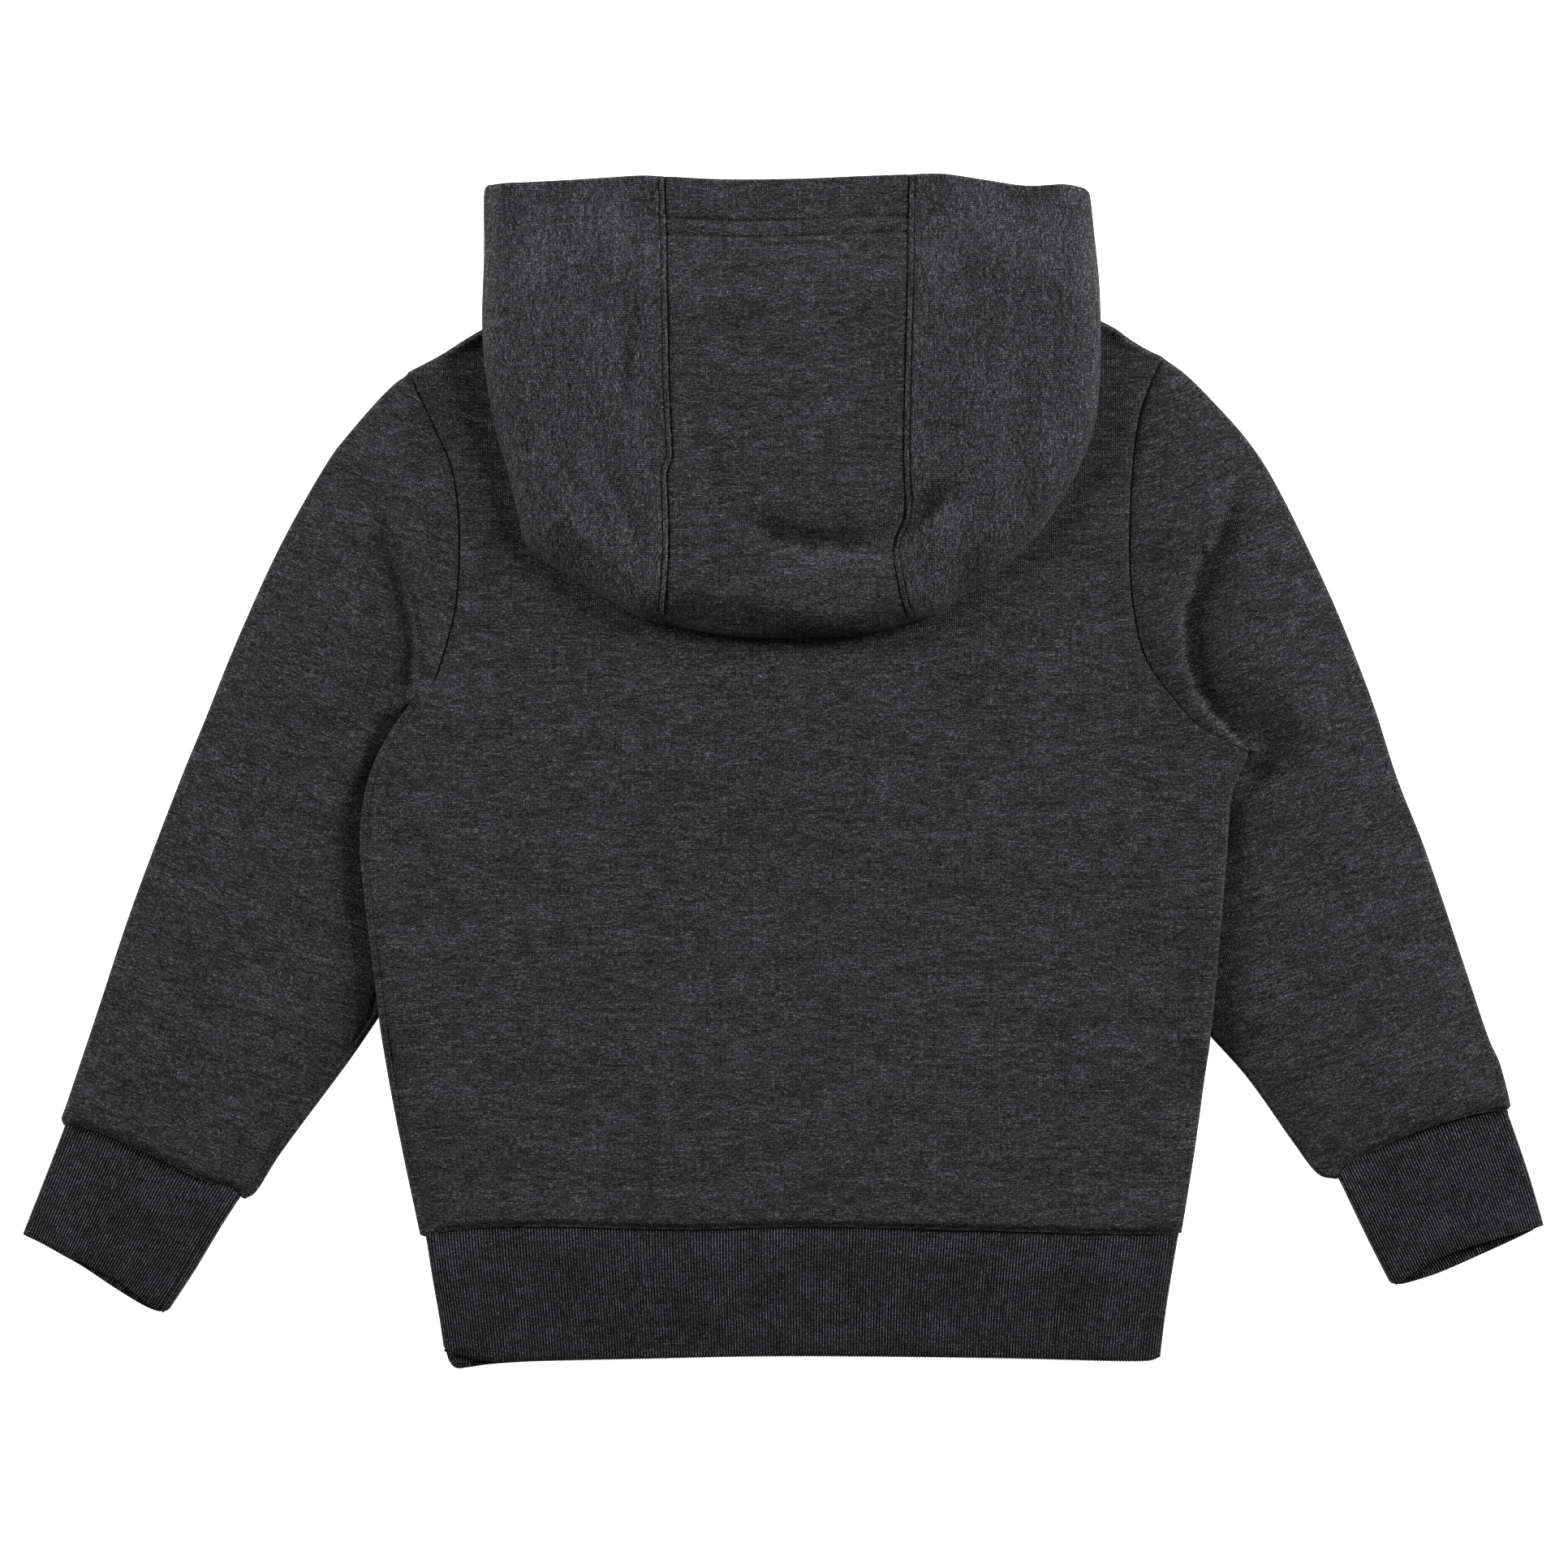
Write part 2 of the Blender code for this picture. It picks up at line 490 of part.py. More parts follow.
def tucked_shares():
    """Shares of a sleeve's tucked side, underarm first, at the body's own points."""
    knots = side_knots()
    return ((1.0 - knots[knots >= SIDE_APEX]) / (1.0 - SIDE_APEX))[::-1]


def sleeve_layer(tables, u, v, v_outer, under):
    """Plan grid of one layer of a sleeve, armhole to cuff, outer fold to inner fold."""
    out_fold, side_table, in_fold, armhole, end = tables
    knots = side_knots()
    side = at(smooth(side_table), knots[knots >= SIDE_APEX])[::-1]
    underarm = side[:1].copy()
    near = np.linalg.norm(side - underarm, axis=1)
    clearance = SIDE_CLEARANCE * (1.0 + fall(near, CORNER_REACH))
    side[:-1, 0] += np.sign(side[0, 0]) * clearance[:-1]
    free = smooth((tuple(side[-1]),) + in_fold)
    knots = armhole_knots()
    seam = at(smooth(armhole), knots)
    turn = knots[armhole_turn()]
    low = v < SLEEVE_BREAKS[0]
    tucked = (v >= SLEEVE_BREAKS[0]) & (v < SLEEVE_BREAKS[1])
    last = v >= SLEEVE_BREAKS[1]
    seam_part = on_knots(seam, knots, turn * (1 - v[low] / SLEEVE_BREAKS[0]))
    side_shares = (v[tucked] - SLEEVE_BREAKS[0]) / (SLEEVE_BREAKS[1] - SLEEVE_BREAKS[0])
    side_part = on_knots(side, tucked_shares(), side_shares)
    free_part = at(free, (v[last] - SLEEVE_BREAKS[1]) / (1 - SLEEVE_BREAKS[1]))
    inner = np.vstack((seam_part, side_part, free_part))
    outer = at(smooth(out_fold), v_outer)
    start = on_knots(seam, knots, 1 - u * (1 - turn))
    plan = patch(outer, inner, start, at(smooth(end), u), u, v, SECTION_FADE)
    d_in = distance(plan, np.vstack((underarm, side[:-1], free)))
    below = np.clip((side[0, 1] - plan[..., 1]) / TUCK_REACH, 0.0, 1.0)
    radius = FOLD - (FOLD - SLEEVE_TUCK) * below
    return lift(plan, body_heights(plan, d_in, radius, under))


def flap_relief(co, normal):
    """The right sleeve's fold: three layers of cloth up to a sharp edge, then a dip."""
    if normal.z < UPPER_SIDE:
        return 0.0
    point = np.array(((co.x, co.y),))[None]
    line = smooth(FLAP_EDGE)
    d = float(distance(point, line)[0, 0])
    ends = min(np.hypot(co.x - line[k][0], co.y - line[k][1]) for k in (0, -1))
    fade = 1.0 - fall(ends, FLAP_FADE)
    if float(side_of(point, line)[0, 0]) < 0:
        return FLAP_HEIGHT * fade * fall(d, FLAP_WIDTH) * min(1.0, normal.z)
    return -FLAP_SHADE * fade * fall(d, FLAP_SHADE_WIDTH)


def ribbed_layer(outer, inner, start, end, u, v, under):
    """Plan grid of one layer of a rib tube, seam to free edge."""
    out_line = smooth(outer)
    in_line = smooth(inner)
    plan = patch(at(out_line, v), at(in_line, v), at(smooth(start), u), at(smooth(end), u), u, v)
    d = np.minimum(distance(plan, out_line), distance(plan, in_line))
    if under:
        return lift(plan, under_fold(d, FOLD))
    height = over_fold(d, FOLD, RIB_CROWN)
    tuck = RIB_TUCK * fall(distance(plan, smooth(start)), RIB_TUCK_REACH)
    return lift(plan, height - tuck * off_fold(d))


def rib_relief(start_line, end_line, count):
    """Raised ribs that run from the seam to the edge, on the upper side."""
    start = at(smooth(start_line), np.linspace(0.0, 1.0, 2 * count + 1))
    end = at(smooth(end_line), np.linspace(0.0, 1.0, 2 * count + 1))

    def raised(co, normal):
        if normal.z < UPPER_SIDE:
            return 0.0
        run = end - start
        share = ((co.x - start[:, 0]) * run[:, 0] + (co.y - start[:, 1]) * run[:, 1])
        share = np.clip(share / (run * run).sum(1), 0.0, 1.0)[:, None]
        away = start + share * run - np.array((co.x, co.y))
        nearest = int(np.hypot(away[:, 0], away[:, 1]).argmin())
        return RIB_HEIGHT * (nearest % 2)
    return raised


# ---- hood ----------------------------------------------------------------------------
def hood_rest(plan):
    """Height that the hood's under layer lies at: on the back, then down to the surface."""
    ridge = smooth(SHOULDER_LEFT[:-1] + BACK_NECK + SHOULDER_RIGHT[1:])
    beyond = np.interp(plan[..., 0], ridge[:, 0], ridge[:, 1])
    share = np.clip((plan[..., 1] - beyond - HOOD_DROP_START) / HOOD_DROP, 0.0, 1.0)
    return HOOD_REST * (1.0 - share * share * (3.0 - 2.0 * share))


def hood_folds():
    tables = (HOOD_EDGE_LEFT, HOOD_ROUND_LEFT, HOOD_BOTTOM, HOOD_ROUND_RIGHT, HOOD_EDGE_RIGHT)
    return [smooth(table) for table in tables]


def hood_heights(plan, under):
    """Heights of the hood bag's upper or under layer."""
    rest = hood_rest(plan)
    low = rest / HOOD_REST
    d = np.minimum.reduce([distance(plan, fold) for fold in hood_folds()])
    if under:
        return rest + under_fold(d, HOOD_FOLD)
    crown = HOOD_CROWN * low + HOOD_TOP_CROWN * (1.0 - low)
    roll = HOOD_ROLL * low + HOOD_TOP_CROWN * (1.0 - low)
    height = rest + roll_over(d, roll, crown)
    clear = 1.0 - fall(np.clip(d - HOOD_CLEAR_START, 0.0, None), HOOD_CLEAR_REACH)
    for seam in (HOOD_SEAM_LEFT, HOOD_SEAM_RIGHT):
        height -= SEAM_DIP * fall(distance(plan, smooth(seam)), SEAM_REACH) * clear
    return height - trough(plan, HOOD_TROUGHS) * clear


def hood_side(seam, edge, round_fold, top, under_seam, lip, u, v):
    """Upper and under layers of a hood side panel, sharing the folded edge."""
    across = at(smooth(round_fold), u)
    edge_points = at(smooth(edge), v)
    upper = patch(at(smooth(seam), v), edge_points, across, at(smooth(top), u), u, v)
    under = patch(at(smooth(under_seam), v), edge_points, across, at(smooth(lip), u), u, v)
    return (lift(upper, hood_heights(upper, False)), lift(under, hood_heights(under, True)))


def hood_middle(u, v):
    """Upper and under layers of the hood's centre strip, folded at the bag's bottom."""
    bottom = at(smooth(HOOD_BOTTOM), u)
    upper = patch(at(smooth(HOOD_SEAM_LEFT), v), at(smooth(HOOD_SEAM_RIGHT), v),
                  bottom, at(smooth(HOOD_TOP_CENTRE), u), u, v)
    under = patch(at(smooth(HOOD_UNDER_SEAM_LEFT), v),
                  at(smooth(HOOD_UNDER_SEAM_RIGHT), v),
                  bottom, at(smooth(HOOD_NECK), u), u, v)
    return (lift(upper, hood_heights(upper, False)), lift(under, hood_heights(under, True)))


def hood_relief(seam, top):
    """The turned hem at the opening, and the stitched-down allowance beside a seam."""
    top_line = smooth(top)
    seam_line = smooth(seam) if seam else None

    def raised(co, normal):
        if normal.z < UPPER_SIDE:
            return 0.0
        point = np.array(((co.x, co.y),))[None]
        from_top = float(distance(point, top_line)[0, 0])
        height = HEM_HEIGHT * (from_top < HOOD_HEM)
        if seam_line is not None:
            from_seam = float(distance(point, seam_line)[0, 0])
            height += LIP_HEIGHT * (LIP_START < from_seam < LIP_WIDTH)
        return height
    return raised


# ---- the garment ---------------------------------------------------------------------
def make_body(fleece):
    edge = np.array(FOLD_STEPS) * FOLD / BODY_WIDTH
    u = np.concatenate((edge, SHOULDER_COLUMNS, np.linspace(*NECK_BREAKS, NECK_POINTS),
                        1 - np.array(SHOULDER_COLUMNS[::-1]), 1 - edge[::-1]))
    v = np.concatenate((BODY_BREAK * side_knots()[:-1],
                        BODY_BREAK + (1 - BODY_BREAK) * armhole_knots()))
    layers = [(body_layer(BACK_NECK, u, v, False), True, 0),
              (body_layer(FRONT_NECK, u, v, True), False, 1)]
    for number, tables in ((2, SLEEVE_LEFT), (3, SLEEVE_RIGHT)):
        layers.append((sleeve_layer(tables, *sleeve_shares(), False), True, number))
        layers.append((sleeve_layer(tables, *sleeve_shares(), True), False, number))
    mesh, piece = weld(layers)
    wall("back_panel", mesh, piece, 0, FLEECE, fleece)
    wall("front_panel", mesh, piece, 1, FLEECE, fleece)
    wall("sleeve_left", mesh, piece, 2, FLEECE, fleece)
    wall("sleeve_right", mesh, piece, 3, FLEECE, fleece, flap_relief)
    mesh.free()


def sleeve_shares():
    """Columns and rows of a sleeve's layers, and the rows' shares of its outer fold."""
    knots = armhole_knots()
    turn = armhole_turn()
    u = (1 - knots[turn:])[::-1] / (1 - knots[turn])
    u = np.concatenate((u[:-1], 1 - np.array(FOLD_STEPS[::-1]) * FOLD / SLEEVE_WIDTH))
    low = SLEEVE_BREAKS[0] * (1 - knots[turn::-1] / knots[turn])
    tucked = SLEEVE_BREAKS[0] + (SLEEVE_BREAKS[1] - SLEEVE_BREAKS[0]) * tucked_shares()
    last = 1 - ROLL_REACH / SLEEVE_LENGTH
    v = np.concatenate((low, tucked[1:], np.linspace(SLEEVE_BREAKS[1], last, FREE_POINTS)[1:],
                        (1.0,)))
    v_outer = np.concatenate(((0.0,),
                              np.linspace(2 * SEAM_REACH / SLEEVE_LENGTH, OUTER_BREAKS[0],
                                          len(low) - 1),
                              np.linspace(*OUTER_BREAKS, len(tucked))[1:],
                              np.linspace(OUTER_BREAKS[1], last, FREE_POINTS)[1:], (1.0,)))
    return u, v, v_outer


def make_ribbed(name, outer, inner, start, end, end_under, rib):
    width = np.linalg.norm(np.array(start[0]) - np.array(start[-1]))
    length = np.linalg.norm(np.array(start[0]) - np.array(end[0]))
    count = int(width / RIB_PITCH)
    u = np.linspace(0.0, 1.0, 2 * count + 1)
    fold = np.array(FOLD_STEPS) * FOLD / width
    u = np.union1d(u, (fold[1], 1 - fold[1]))
    across = np.linspace(fold[-1], 1 - fold[-1], int(width / UNDER_COLUMN) + 2)
    u_under = np.concatenate((fold, across[1:-1], 1 - fold[::-1]))
    u_under = np.union1d(u_under, np.array(CORNER_STEPS) / width)
    v = np.array((0.0, RIB_TUCK_REACH / length, 1.0))
    upper = ribbed_layer(outer, inner, start, end, u, v, False)
    under = ribbed_layer(outer, inner, start, end_under, u_under, v, True)
    mesh, piece = weld(((upper, True, 0), (under, False, 0)))
    wall(name, mesh, piece, 0, RIB, rib, rib_relief(start, end, count))
    mesh.free()


def make_hood(fleece):
    lip = np.array(LIP_COLUMNS) / HOOD_SIDE_WIDTH
    folded = 1.0 - np.array(ROLL_STEPS[::-1]) / HOOD_SIDE_WIDTH
    flat = np.linspace(lip[-1], folded[0], HOOD_SIDE_COLUMNS + 2)[1:-1]
    u = np.concatenate((lip, flat, folded))
    head = np.array(ROLL_STEPS) / HOOD_LENGTH
    hem = 1.0 - np.array(OPENING_ROWS) / HOOD_LENGTH
    v = np.concatenate((head, np.linspace(head[-1], hem[0], HOOD_ROWS + 1)[1:], hem[1:]))
    left = hood_side(HOOD_SEAM_LEFT, HOOD_EDGE_LEFT, HOOD_ROUND_LEFT, HOOD_TOP_LEFT,
                     HOOD_UNDER_SEAM_LEFT, HOOD_LIP_LEFT, u, v)
    right = hood_side(HOOD_SEAM_RIGHT, HOOD_EDGE_RIGHT, HOOD_ROUND_RIGHT, HOOD_TOP_RIGHT,
                      HOOD_UNDER_SEAM_RIGHT, HOOD_LIP_RIGHT, u, v)
    middle = hood_middle(np.linspace(0.0, 1.0, HOOD_MIDDLE_COLUMNS), v)
    layers = []
    for number, (upper, under) in enumerate((left, right, middle)):
        layers += [(upper, True, number), (under, False, number)]
    mesh, piece = weld(layers)
    wall("hood_side_left", mesh, piece, 0, FLEECE, fleece,
         hood_relief(HOOD_SEAM_LEFT, HOOD_TOP_LEFT))
    wall("hood_side_right", mesh, piece, 1, FLEECE, fleece,
         hood_relief(HOOD_SEAM_RIGHT, HOOD_TOP_RIGHT))
    wall("hood_centre", mesh, piece, 2, FLEECE, fleece, hood_relief(None, HOOD_TOP_CENTRE))
    mesh.free()


def centre_on_origin(collection):
    """Move every piece so that the whole stands on the middle of its outline."""
    corners = []
    for node in collection.objects:
        points = np.empty(len(node.data.vertices) * 3, np.float32)
        node.data.vertices.foreach_get("co", points)
        corners += [points.reshape(-1, 3).min(0), points.reshape(-1, 3).max(0)]
    middle = (np.min(corners, axis=0) + np.max(corners, axis=0)) / 2
    for node in collection.objects:
        node.data.transform(Matrix.Translation((-middle[0], -middle[1], 0.0)))


def main():
    for old in list(bpy.data.objects):
        bpy.data.objects.remove(old, do_unlink=True)
    collection = bpy.data.collections.new(COLLECTION)
    bpy.context.scene.collection.children.link(collection)
    fleece = cloth("sweat_fleece")
    rib = cloth("rib_knit")
    make_body(fleece)
    make_ribbed("waistband", BAND_LEFT, BAND_RIGHT, BAND_TOP, BAND_EDGE, BAND_EDGE_UNDER, rib)
    make_ribbed("cuff_left", CUFF_OUT_LEFT, CUFF_IN_LEFT, CUFF_TOP_LEFT, CUFF_EDGE_LEFT,
                CUFF_EDGE_UNDER_LEFT, rib)
    make_ribbed("cuff_right", CUFF_OUT_RIGHT, CUFF_IN_RIGHT, CUFF_TOP_RIGHT, CUFF_EDGE_RIGHT,
                CUFF_EDGE_UNDER_RIGHT, rib)
    make_hood(fleece)
    centre_on_origin(collection)


main()
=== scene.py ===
# Toddler pullover hoodie in charcoal sweatshirt fleece, laid flat with its back up and
# its hood turned down over the back. Sizes are in millimetres until a mesh is written.

import math
import bpy
import bmesh
import numpy as np
from mathutils import Matrix


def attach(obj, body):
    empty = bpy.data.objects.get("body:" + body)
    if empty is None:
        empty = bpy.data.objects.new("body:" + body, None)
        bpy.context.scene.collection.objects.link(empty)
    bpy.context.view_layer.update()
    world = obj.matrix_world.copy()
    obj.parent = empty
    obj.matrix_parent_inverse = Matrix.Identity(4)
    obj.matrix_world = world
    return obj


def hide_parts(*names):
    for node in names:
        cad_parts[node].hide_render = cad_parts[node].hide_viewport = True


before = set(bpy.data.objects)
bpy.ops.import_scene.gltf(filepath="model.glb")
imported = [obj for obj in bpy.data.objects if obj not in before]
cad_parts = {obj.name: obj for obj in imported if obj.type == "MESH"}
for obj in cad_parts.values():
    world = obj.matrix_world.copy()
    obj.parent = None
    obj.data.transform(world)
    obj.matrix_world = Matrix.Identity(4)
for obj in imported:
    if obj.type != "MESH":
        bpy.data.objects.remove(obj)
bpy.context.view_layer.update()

mm = 0.001
centre = (0.1, 0.0)  # middle of the outline in the tables' own frame

# how the cloth lies: radius of its folds, height of its layers, how it rolls under at a hem
lie = {
    "fold": 2.9, "crown": 7.0, "crownReach": 13.0, "foldEnds": 0.6, "hemRoll": 1.7,
    "hemReach": 1.9, "ripple": 0.34, "rippleFrom": 3.0, "rippleReach": 14.0,
}
# gentle unevenness of the lying cloth: wavelength, direction in degrees, height, phase
ripples = (
    (96.0, 12.0, 1.0, 0.4), (71.0, 78.0, 0.9, 2.1), (53.0, 131.0, 0.8, 4.4),
    (37.0, 40.0, 0.55, 1.2), (29.0, 101.0, 0.45, 5.3), (21.0, 160.0, 0.3, 3.0),
)
# distances from an edge at which the first points of a row stand
closeSteps = (0.0, 0.05, 0.22, 0.5, 0.9, 1.4, 1.8, 2.2, 2.6, 3.1, 4.1)
mergeWithin = 0.02  # points of two layers that are closer become one


def curve(rows, steps=10):
    points = np.array(rows, float)
    before = np.vstack((2 * points[0] - points[1], points, 2 * points[-1] - points[-2]))
    share = np.linspace(0.0, 1.0, steps, endpoint=False)[:, None]
    line = []
    for a, b, c, d in zip(before, before[1:], before[2:], before[3:]):
        line.append(b + 0.5 * share * (c - a + share * (2 * a - 5 * b + 4 * c - d
                                                        + share * (3 * (b - c) + d - a))))
    return np.vstack(line + [points[-1:]])


def at(line, shares):
    reach = np.concatenate(((0.0,), np.cumsum(np.linalg.norm(np.diff(line, axis=0), axis=1))))
    reach /= reach[-1]
    return np.stack([np.interp(shares, reach, line[:, k]) for k in range(2)], axis=1)


def chain(parts, breaks, shares):
    points = np.zeros((len(shares), 2))
    stops = (0.0,) + tuple(breaks) + (1.0,)
    for part, start, stop in zip(parts, stops, stops[1:]):
        inside = (shares >= start) & (shares <= stop)
        points[inside] = at(part, (shares[inside] - start) / (stop - start))
    return points


def patch(left, right, bottom, top, u, v, fade=1):
    # straight sections from left to right, bent near the bottom and top as those curves are
    across = u[None, :, None]
    sections = (1 - across) * left[:, None] + across * right[:, None]
    for line, share in ((bottom, 1 - v), (top, v)):
        straight = line[0] + u[:, None] * (line[-1] - line[0])
        sections += share[:, None, None] ** fade * (line - straight)
    return sections


def rowShares(length, step, close=(True, True)):
    # close together beside an edge, even elsewhere
    near = np.array(closeSteps) / length
    head = near if close[0] else near[:1]
    tail = 1 - near[::-1] if close[1] else 1 - near[:1]
    count = max(2, int((tail[0] - head[-1]) * length / step))
    return np.concatenate((head, np.linspace(head[-1], tail[0], count + 1)[1:-1], tail))


def fromLine(points, line):
    # offset of each point from the nearest place on a line, the run there and its share
    start = line[:-1]
    run = line[1:] - start
    square = (run * run).sum(1)
    reach = np.concatenate(((0.0,), np.cumsum(np.sqrt(square))))
    flat = points.reshape(-1, 2)
    aways, runs, shares = [], [], []
    for k in range(0, len(flat), 4000):
        offset = flat[k:k + 4000, None] - start[None]
        share = np.clip((offset * run).sum(2) / square, 0.0, 1.0)
        away = offset - share[..., None] * run
        nearest = (away * away).sum(2).argmin(1)
        picked = np.arange(len(nearest))
        aways.append(away[picked, nearest])
        runs.append(run[nearest])
        shares.append((reach[nearest] + share[picked, nearest] * np.sqrt(square[nearest]))
                      / reach[-1])
    shape = points.shape
    return (np.vstack(aways).reshape(shape), np.vstack(runs).reshape(shape),
            np.concatenate(shares).reshape(shape[:-1]))


def distance(points, rows):
    return np.linalg.norm(fromLine(points, curve(rows))[0], axis=-1)


def signedDistance(points, rows):
    # positive on the left of the line's direction
    away, run, share = fromLine(points, curve(rows))
    side = np.sign(run[..., 0] * away[..., 1] - run[..., 1] * away[..., 0])
    return side * np.linalg.norm(away, axis=-1), share


def fall(d, reach):
    return np.exp(-(d / reach) ** 2)


def smoothStep(x):
    x = np.clip(x, 0.0, 1.0)
    return x * x * (3 - 2 * x)


def overFold(d, radius, crown, reach):
    bend = np.clip(1.0 - d / radius, 0.0, 1.0)
    arc = radius + radius * np.sqrt(1.0 - bend ** 2)
    return arc + (crown - 2 * radius) * (1.0 - np.exp(-np.clip(d - radius, 0.0, None) / reach))


def underFold(d, radius):
    bend = np.clip(1.0 - d / radius, 0.0, 1.0)
    return radius - radius * np.sqrt(1.0 - bend ** 2)


def offFold(d):
    # nought on a fold's round, where nothing is pressed in, and one on the flat
    return np.clip(d / lie["fold"] - lie["foldEnds"], 0.0, 1.0)


def besideFold(d, seam):
    # the groove of a sewn seam that lies a little inside a fold
    return seam["groove"] * fall(d - seam["inside"], seam["grooveWidth"])


def rippled(plan):
    height = np.zeros(plan.shape[:-1])
    for wave, angle, share, phase in ripples:
        turn = math.radians(angle)
        along = plan[..., 0] * math.cos(turn) + plan[..., 1] * math.sin(turn)
        height += share * np.sin(2 * math.pi * along / wave + phase)
    return lie["ripple"] * height / 2


def troughs(plan, rows):
    # a trough is as wide as its two numbers left and right of its line, and fades at both ends
    depth = np.zeros(plan.shape[:-1])
    for row in rows:
        away, share = signedDistance(plan, row["line"])
        width = np.where(away > 0, row["width"][0], row["width"][1])
        ends = smoothStep(share / row["fade"]) * smoothStep((1 - share) / row["fade"])
        depth += row["depth"] * fall(away, width) * ends
    return depth


def clothMap(plan, folds, radius, grain):
    # place on the flat cloth in millimetres: u across the wales, v along them
    laid = plan.copy()
    for rows in folds:
        away = fromLine(plan, curve(rows))[0]
        d = np.linalg.norm(away, axis=-1)
        bend = np.clip(1.0 - d / radius, 0.0, 1.0)
        short = radius * (math.pi / 2 - 1) - (radius * np.arccos(bend) - (radius - radius * bend))
        near = d < radius
        outward = -away / np.maximum(d, 1e-6)[..., None]
        laid += outward * np.where(near, short, 0.0)[..., None]
    turn = math.radians(grain)
    u = laid[..., 0] * math.cos(turn) + laid[..., 1] * math.sin(turn)
    v = laid[..., 1] * math.cos(turn) - laid[..., 0] * math.sin(turn)
    return np.stack((u, v), axis=-1)


def addLayer(bm, plan, height, laid, faceUp, rib=None):
    rows, columns = height.shape
    grid = bmesh.ops.create_grid(bm, x_segments=columns - 1, y_segments=rows - 1, size=0.5)
    acrossCloth = bm.verts.layers.float["clothU"]
    alongCloth = bm.verts.layers.float["clothV"]
    ribShare = bm.verts.layers.float["ribShare"]
    shares = np.zeros(height.size) if rib is None else rib.ravel()
    places = (plan - centre).reshape(-1, 2) * mm
    heights = np.maximum(height, 0.0).reshape(-1) * mm
    cloth = laid.reshape(-1, 2) * mm
    points = zip(grid["verts"], places.tolist(), heights.tolist(), cloth.tolist(),
                 shares.tolist())
    for vert, place, z, uv, share in points:
        vert.co = (place[0], place[1], z)
        vert[acrossCloth] = uv[0]
        vert[alongCloth] = uv[1]
        vert[ribShare] = share
    first = plan[:-1, :-1] - plan[1:, 1:]
    second = plan[:-1, 1:] - plan[1:, :-1]
    turned = (first[..., 0] * second[..., 1] - first[..., 1] * second[..., 0]).sum() < 0
    if turned == faceUp:
        faces = {face for vert in grid["verts"] for face in vert.link_faces}
        bmesh.ops.reverse_faces(bm, faces=list(faces))


def makeCloth(name, layers, thickness, material, node):
    bm = bmesh.new()
    for layer in ("clothU", "clothV", "ribShare"):
        bm.verts.layers.float.new(layer)
    for layer in layers:
        addLayer(bm, *layer)
    bmesh.ops.remove_doubles(bm, verts=bm.verts[:], dist=mergeWithin * mm)
    bmesh.ops.dissolve_degenerate(bm, edges=bm.edges[:], dist=mergeWithin * mm)
    mesh = bpy.data.meshes.new(name)
    bm.to_mesh(mesh)
    bm.free()
    u = np.empty(len(mesh.vertices), np.float32)
    v = np.empty(len(mesh.vertices), np.float32)
    mesh.attributes["clothU"].data.foreach_get("value", u)
    mesh.attributes["clothV"].data.foreach_get("value", v)
    corners = np.empty(len(mesh.loops), np.int32)
    mesh.loops.foreach_get("vertex_index", corners)
    uvMap = mesh.uv_layers.new(name="clothUV")
    uvMap.uv.foreach_set("vector", np.stack((u, v), axis=1)[corners].ravel())
    mesh.attributes.remove(mesh.attributes["clothU"])
    mesh.attributes.remove(mesh.attributes["clothV"])
    mesh.shade_smooth()
    mesh.materials.append(material)
    piece = bpy.data.objects.new(name, mesh)
    bpy.context.scene.collection.objects.link(piece)
    solid = piece.modifiers.new("thickness", "SOLIDIFY")
    solid.thickness = thickness * mm
    solid.offset = -1.0
    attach(piece, "root")
    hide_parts(node)
    return piece


def toLinear(code):
    values = [int(code[k:k + 2], 16) / 255 for k in (1, 3, 5)]
    return tuple(c / 12.92 if c <= 0.04045 else ((c + 0.055) / 1.055) ** 2.4
                 for c in values) + (1.0,)


def addNode(tree, kind, settings=None, values=None, links=None):
    node = tree.nodes.new(kind)
    for key, value in (settings or {}).items():
        setattr(node, key, value)
    for key, value in (values or {}).items():
        node.inputs[key].default_value = value
    for key, output in (links or {}).items():
        tree.links.new(output, node.inputs[key])
    return node


